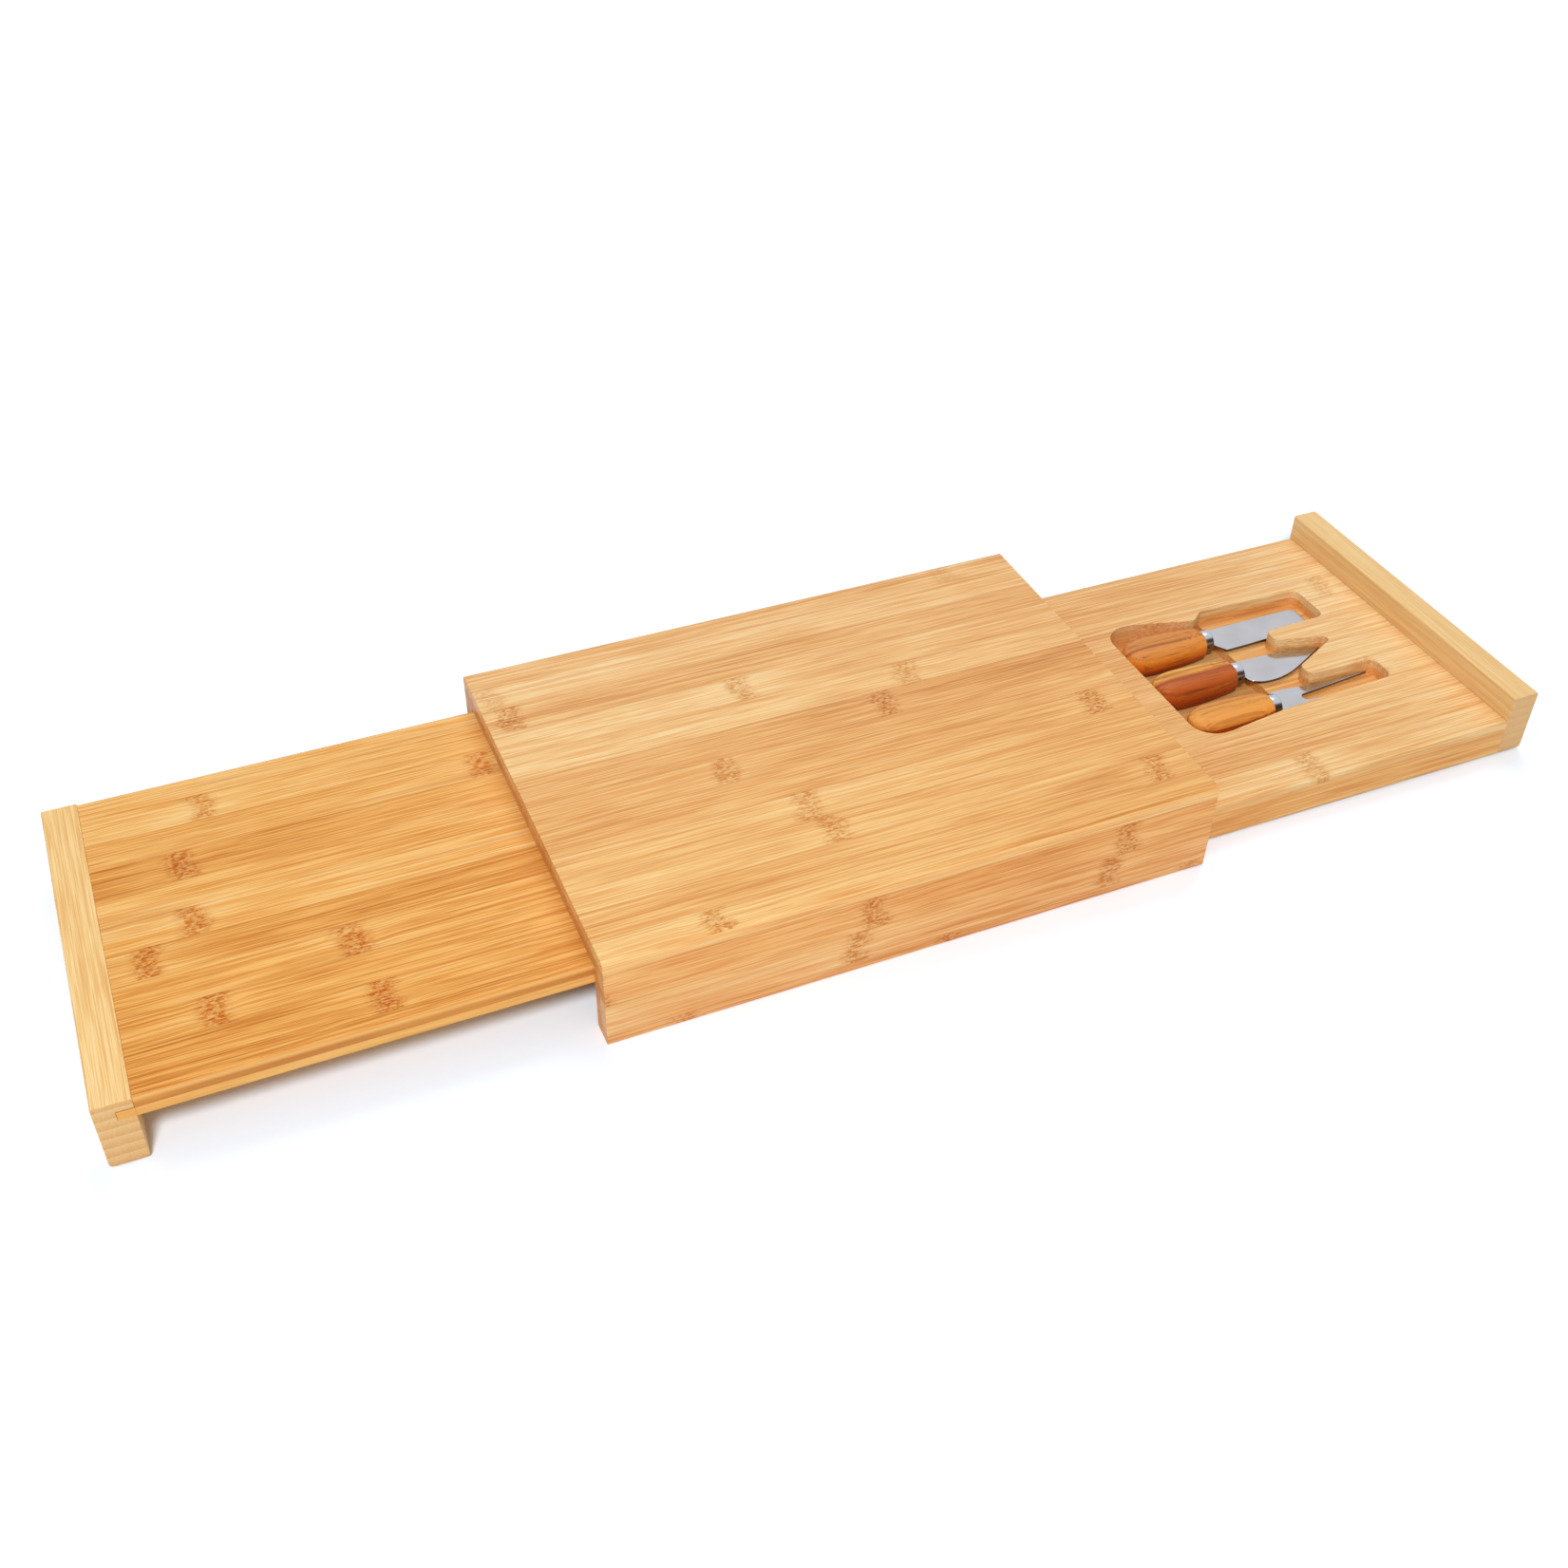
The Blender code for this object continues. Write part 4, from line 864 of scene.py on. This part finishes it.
# blades seen from above, along from the ferrule's front end and across from the knife's middle line:
# corners with their radii, or for the heart knife curves by the point that pulls each and its end
blades = {
    "slicer": [(0.0055, -0.0130, 0.0004), (0.0695, -0.0117, 0.0020), (0.0695, 0.0090, 0.0045),
               (0.0003, 0.0090, 0.0005), (0.0003, -0.0055, 0.0005)],
    "heart": {
        "heel": (0.0015, -0.0083), "tip": (0.0618, 0.0036), "neck": [(0.0003, 0.0061), (0.0003, -0.00415)],
        "belly": [((0.0055, -0.0137), (0.0155, -0.0137)), ((0.0270, -0.0137), (0.0380, -0.0080))],
        "back": ((0.0365, 0.0096), (0.0035, 0.0096))},
    "fork": {
        "half": [(0.0003, 0.0, 0.0), (0.0003, 0.0078, 0.0004), (0.0045, 0.0114, 0.0010), (0.0130, 0.0114, 0.0040),
                 (0.0350, 0.0084, 0.0100), (0.0708, 0.0084, 0.0004), (0.0708, 0.0074, 0.0004), (0.0708, 0.0, 0.0)],
        "notch": 0.0032, "notchX": 0.0225, "notchSteps": 17},
}


# the heel, two curves along the belly, the raised tip, one curve back and the neck
def heartOutline():
    heart = blades["heart"]
    points = [heart["heel"]]
    for pull, end in heart["belly"]:
        points += bend(points[-1], pull, end)
    points += [heart["tip"]] + bend(heart["tip"], *heart["back"])
    return np.array(points + heart["neck"])


# one half from the neck to the prong's tip, the notch's round end and the mirrored half
def forkOutline():
    notch, notchX = blades["fork"]["notch"], blades["fork"]["notchX"]
    sideLine = roundCorners(blades["fork"]["half"], 0.0, weld=True)
    sideLine = sideLine[sideLine[:, 1] > quality["near"]]
    if sideLine[0, 0] > sideLine[-1, 0]:
        sideLine = sideLine[::-1]
    angle = np.linspace(math.pi / 2, -math.pi / 2, blades["fork"]["notchSteps"])[1:-1]
    arc = np.stack([notchX - notch * np.cos(angle), -notch * np.sin(angle)], axis=1)
    return np.concatenate([sideLine * [1, -1], [[notchX, -notch]], arc, [[notchX, notch]], sideLine[::-1]])


# a flat blade: outline loops at the edge, drawn in and lifted to full thickness
def bladeBody(outline):
    loop = np.asarray(outline)
    loop = loop if areaOf(loop) > 0 else loop[::-1]
    half, ease = knife["bladeThickness"] / 2, knife["bladeEase"]
    corners = np.concatenate([loop, np.zeros((len(loop), 1))], axis=1)
    return bodyOfRings(carryProfile(corners, "z", [-half, -half + ease, half - ease, half], [ease, 0, 0, ease], 0.0, 1))


# the three pieces of a knife, each moved from the axis to its place
def addKnife(name, label, outline):
    place = np.array([buttX[label], knifeRows[label], knife["axisZ"]])
    front = place + [knife["gripLength"] + knife["ferruleLength"], 0, 0]
    for part, (points, faces), at, finish, slot in (
            ("Handle", bodyOfRings(handleRings()), place, handleWood(label), "handle_wood"),
            ("Ferrule", bodyOfRings(ferruleRings()), place, steel("ferrule", label), "ferrule_steel"),
            ("Blade", bladeBody(outline), front, bladeSteel, "blade_steel")):
        addPiece(label + part, points + at, faces, finish, name, name + "_" + part.lower(), slot)


addKnife("slicer", "slicer", roundCorners(blades["slicer"], 0.0, weld=True))
addKnife("heart_knife", "heart", heartOutline())
addKnife("fork", "fork", forkOutline())
print("knives ready")


# hidden bamboo: runner strips, guide pins and dowels keep their solids
for name in ("front_runner", "back_runner", "tray_front_pin", "tray_back_pin",
             "drawer_front_pin", "drawer_back_pin", "drawer_front_dowel", "drawer_back_dowel"):
    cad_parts[name].material_slots[0].material = bamboo
print("hidden parts ready")


# floor, lights and camera
studio = {
    "floorSize": 6.0, "floorPoints": 13, "floorHeight": -0.0002, "floorTone": (0.88, 0.88, 0.88), "floorGrain": 40,
    "floorRoughness": (0.9, 0.05), "glow": (0.44, 0.72), "shadowDepth": 1.28, "shadowTint": (0.875, 0.96, 1.06),
    "keyPower": 24.0, "keySize": 1.8, "keyPlace": (0.75, 1.15, 2.4), "keyColour": (1.0, 0.985, 0.96),
    "fillPower": 34.0, "fillSize": 0.5, "fillPlace": (-0.75, -1.42, 1.90), "fillColour": (0.97, 0.985, 1.0),
    "worldStrength": 0.32, "worldColour": (0.955, 0.98, 1.0),
}


# seen by the camera or in a mirror, the floor shows its own light and shadow, brighter and bluish,
# and far from the object it glows white
def floorFinish():
    finish = Finish("floor")
    x, y, z = finish.parts()
    shown = finish.seen()
    grain = finish.noise(x * studio["floorGrain"], y * studio["floorGrain"], z)
    glow = shown * finish.smooth(finish.sum("SQRT", x * x + y * y), *studio["glow"])
    lit = tuple(studio["shadowDepth"] * value for value in studio["shadowTint"])
    roughness, spread = studio["floorRoughness"]
    return finish.surface(
        Base_Color=finish.blend(shown, studio["floorTone"], lit), Roughness=roughness + grain * spread,
        Specular_IOR_Level=0.0, Emission_Strength=1.0,
        Emission_Color=finish.blend(glow, (0.0, 0.0, 0.0), (1.0, 1.0, 1.0)))


# a flat grid under the object
def addFloor():
    half, count = studio["floorSize"] / 2, studio["floorPoints"]
    x, y = np.meshgrid(np.linspace(-half, half, count), np.linspace(-half, half, count))
    points = np.stack([x, y, np.full_like(x, studio["floorHeight"])], axis=-1).reshape(-1, 3)
    mesh = bpy.data.meshes.new("floor")
    mesh.from_pydata(points.tolist(), [], gridQuads(count, count, closed=False).tolist())
    mesh.materials.append(floorFinish())
    addObject("floor", mesh)


# a round area light that looks at the middle
def addLight(name):
    lamp = bpy.data.lights.new(name, "AREA")
    lamp.shape, lamp.size = "DISK", studio[name + "Size"]
    lamp.energy, lamp.color = studio[name + "Power"], studio[name + "Colour"]
    light = addObject(name, lamp)
    light.location = studio[name + "Place"]
    light.rotation_euler = (-Vector(light.location)).to_track_quat("-Z", "Y").to_euler()


# white where it is seen, a dimmer light elsewhere
def addWorld():
    world = bpy.data.worlds.new("studio")
    bpy.context.scene.world = world
    sky = Finish("studio", world, "Background")
    sky.surface(Color=(*studio["worldColour"], 1.0), Strength=studio["worldStrength"])
    white = sky.node("Background", None, {"Color": (1.0, 1.0, 1.0, 1.0), "Strength": 1.0})
    mixed = sky.node("MixShader", None, {0: sky.seen(), 1: Wire(sky, sky.shader.outputs[0]), 2: white})
    sky.feed(sky.tree.nodes["World Output"].inputs["Surface"], mixed)


view = {
    "place": (-0.32525534, -0.67549636, 0.65012061), "azimuth": -0.41723437, "elevation": 0.7026238,
    "roll": 0.02054251, "lens": 40.577, "sensor": 36.0, "clip": (0.01, 50.0),
}


# the camera looks along minus its back axis; right and up are turned by the roll
def addCamera():
    azimuth, elevation, roll = view["azimuth"], view["elevation"], view["roll"]
    level = math.cos(elevation)
    back = Vector((math.sin(azimuth) * level, -math.cos(azimuth) * level, math.sin(elevation)))
    right = Vector((0, 0, 1)).cross(back).normalized()
    up = back.cross(right)
    axisX = right * math.cos(roll) + up * math.sin(roll)
    axisY = up * math.cos(roll) - right * math.sin(roll)
    lens = bpy.data.cameras.new("view")
    lens.lens, lens.sensor_width, lens.sensor_fit = view["lens"], view["sensor"], "HORIZONTAL"
    lens.clip_start, lens.clip_end = view["clip"]
    camera = addObject("view", lens)
    camera.matrix_world = Matrix.Translation(view["place"]) @ Matrix((axisX, axisY, back)).transposed().to_4x4()
    bpy.context.scene.camera = camera


addFloor()
addWorld()
addLight("key")
addLight("fill")
addCamera()
bpy.context.scene.view_settings.view_transform = "Standard"
print("studio ready")
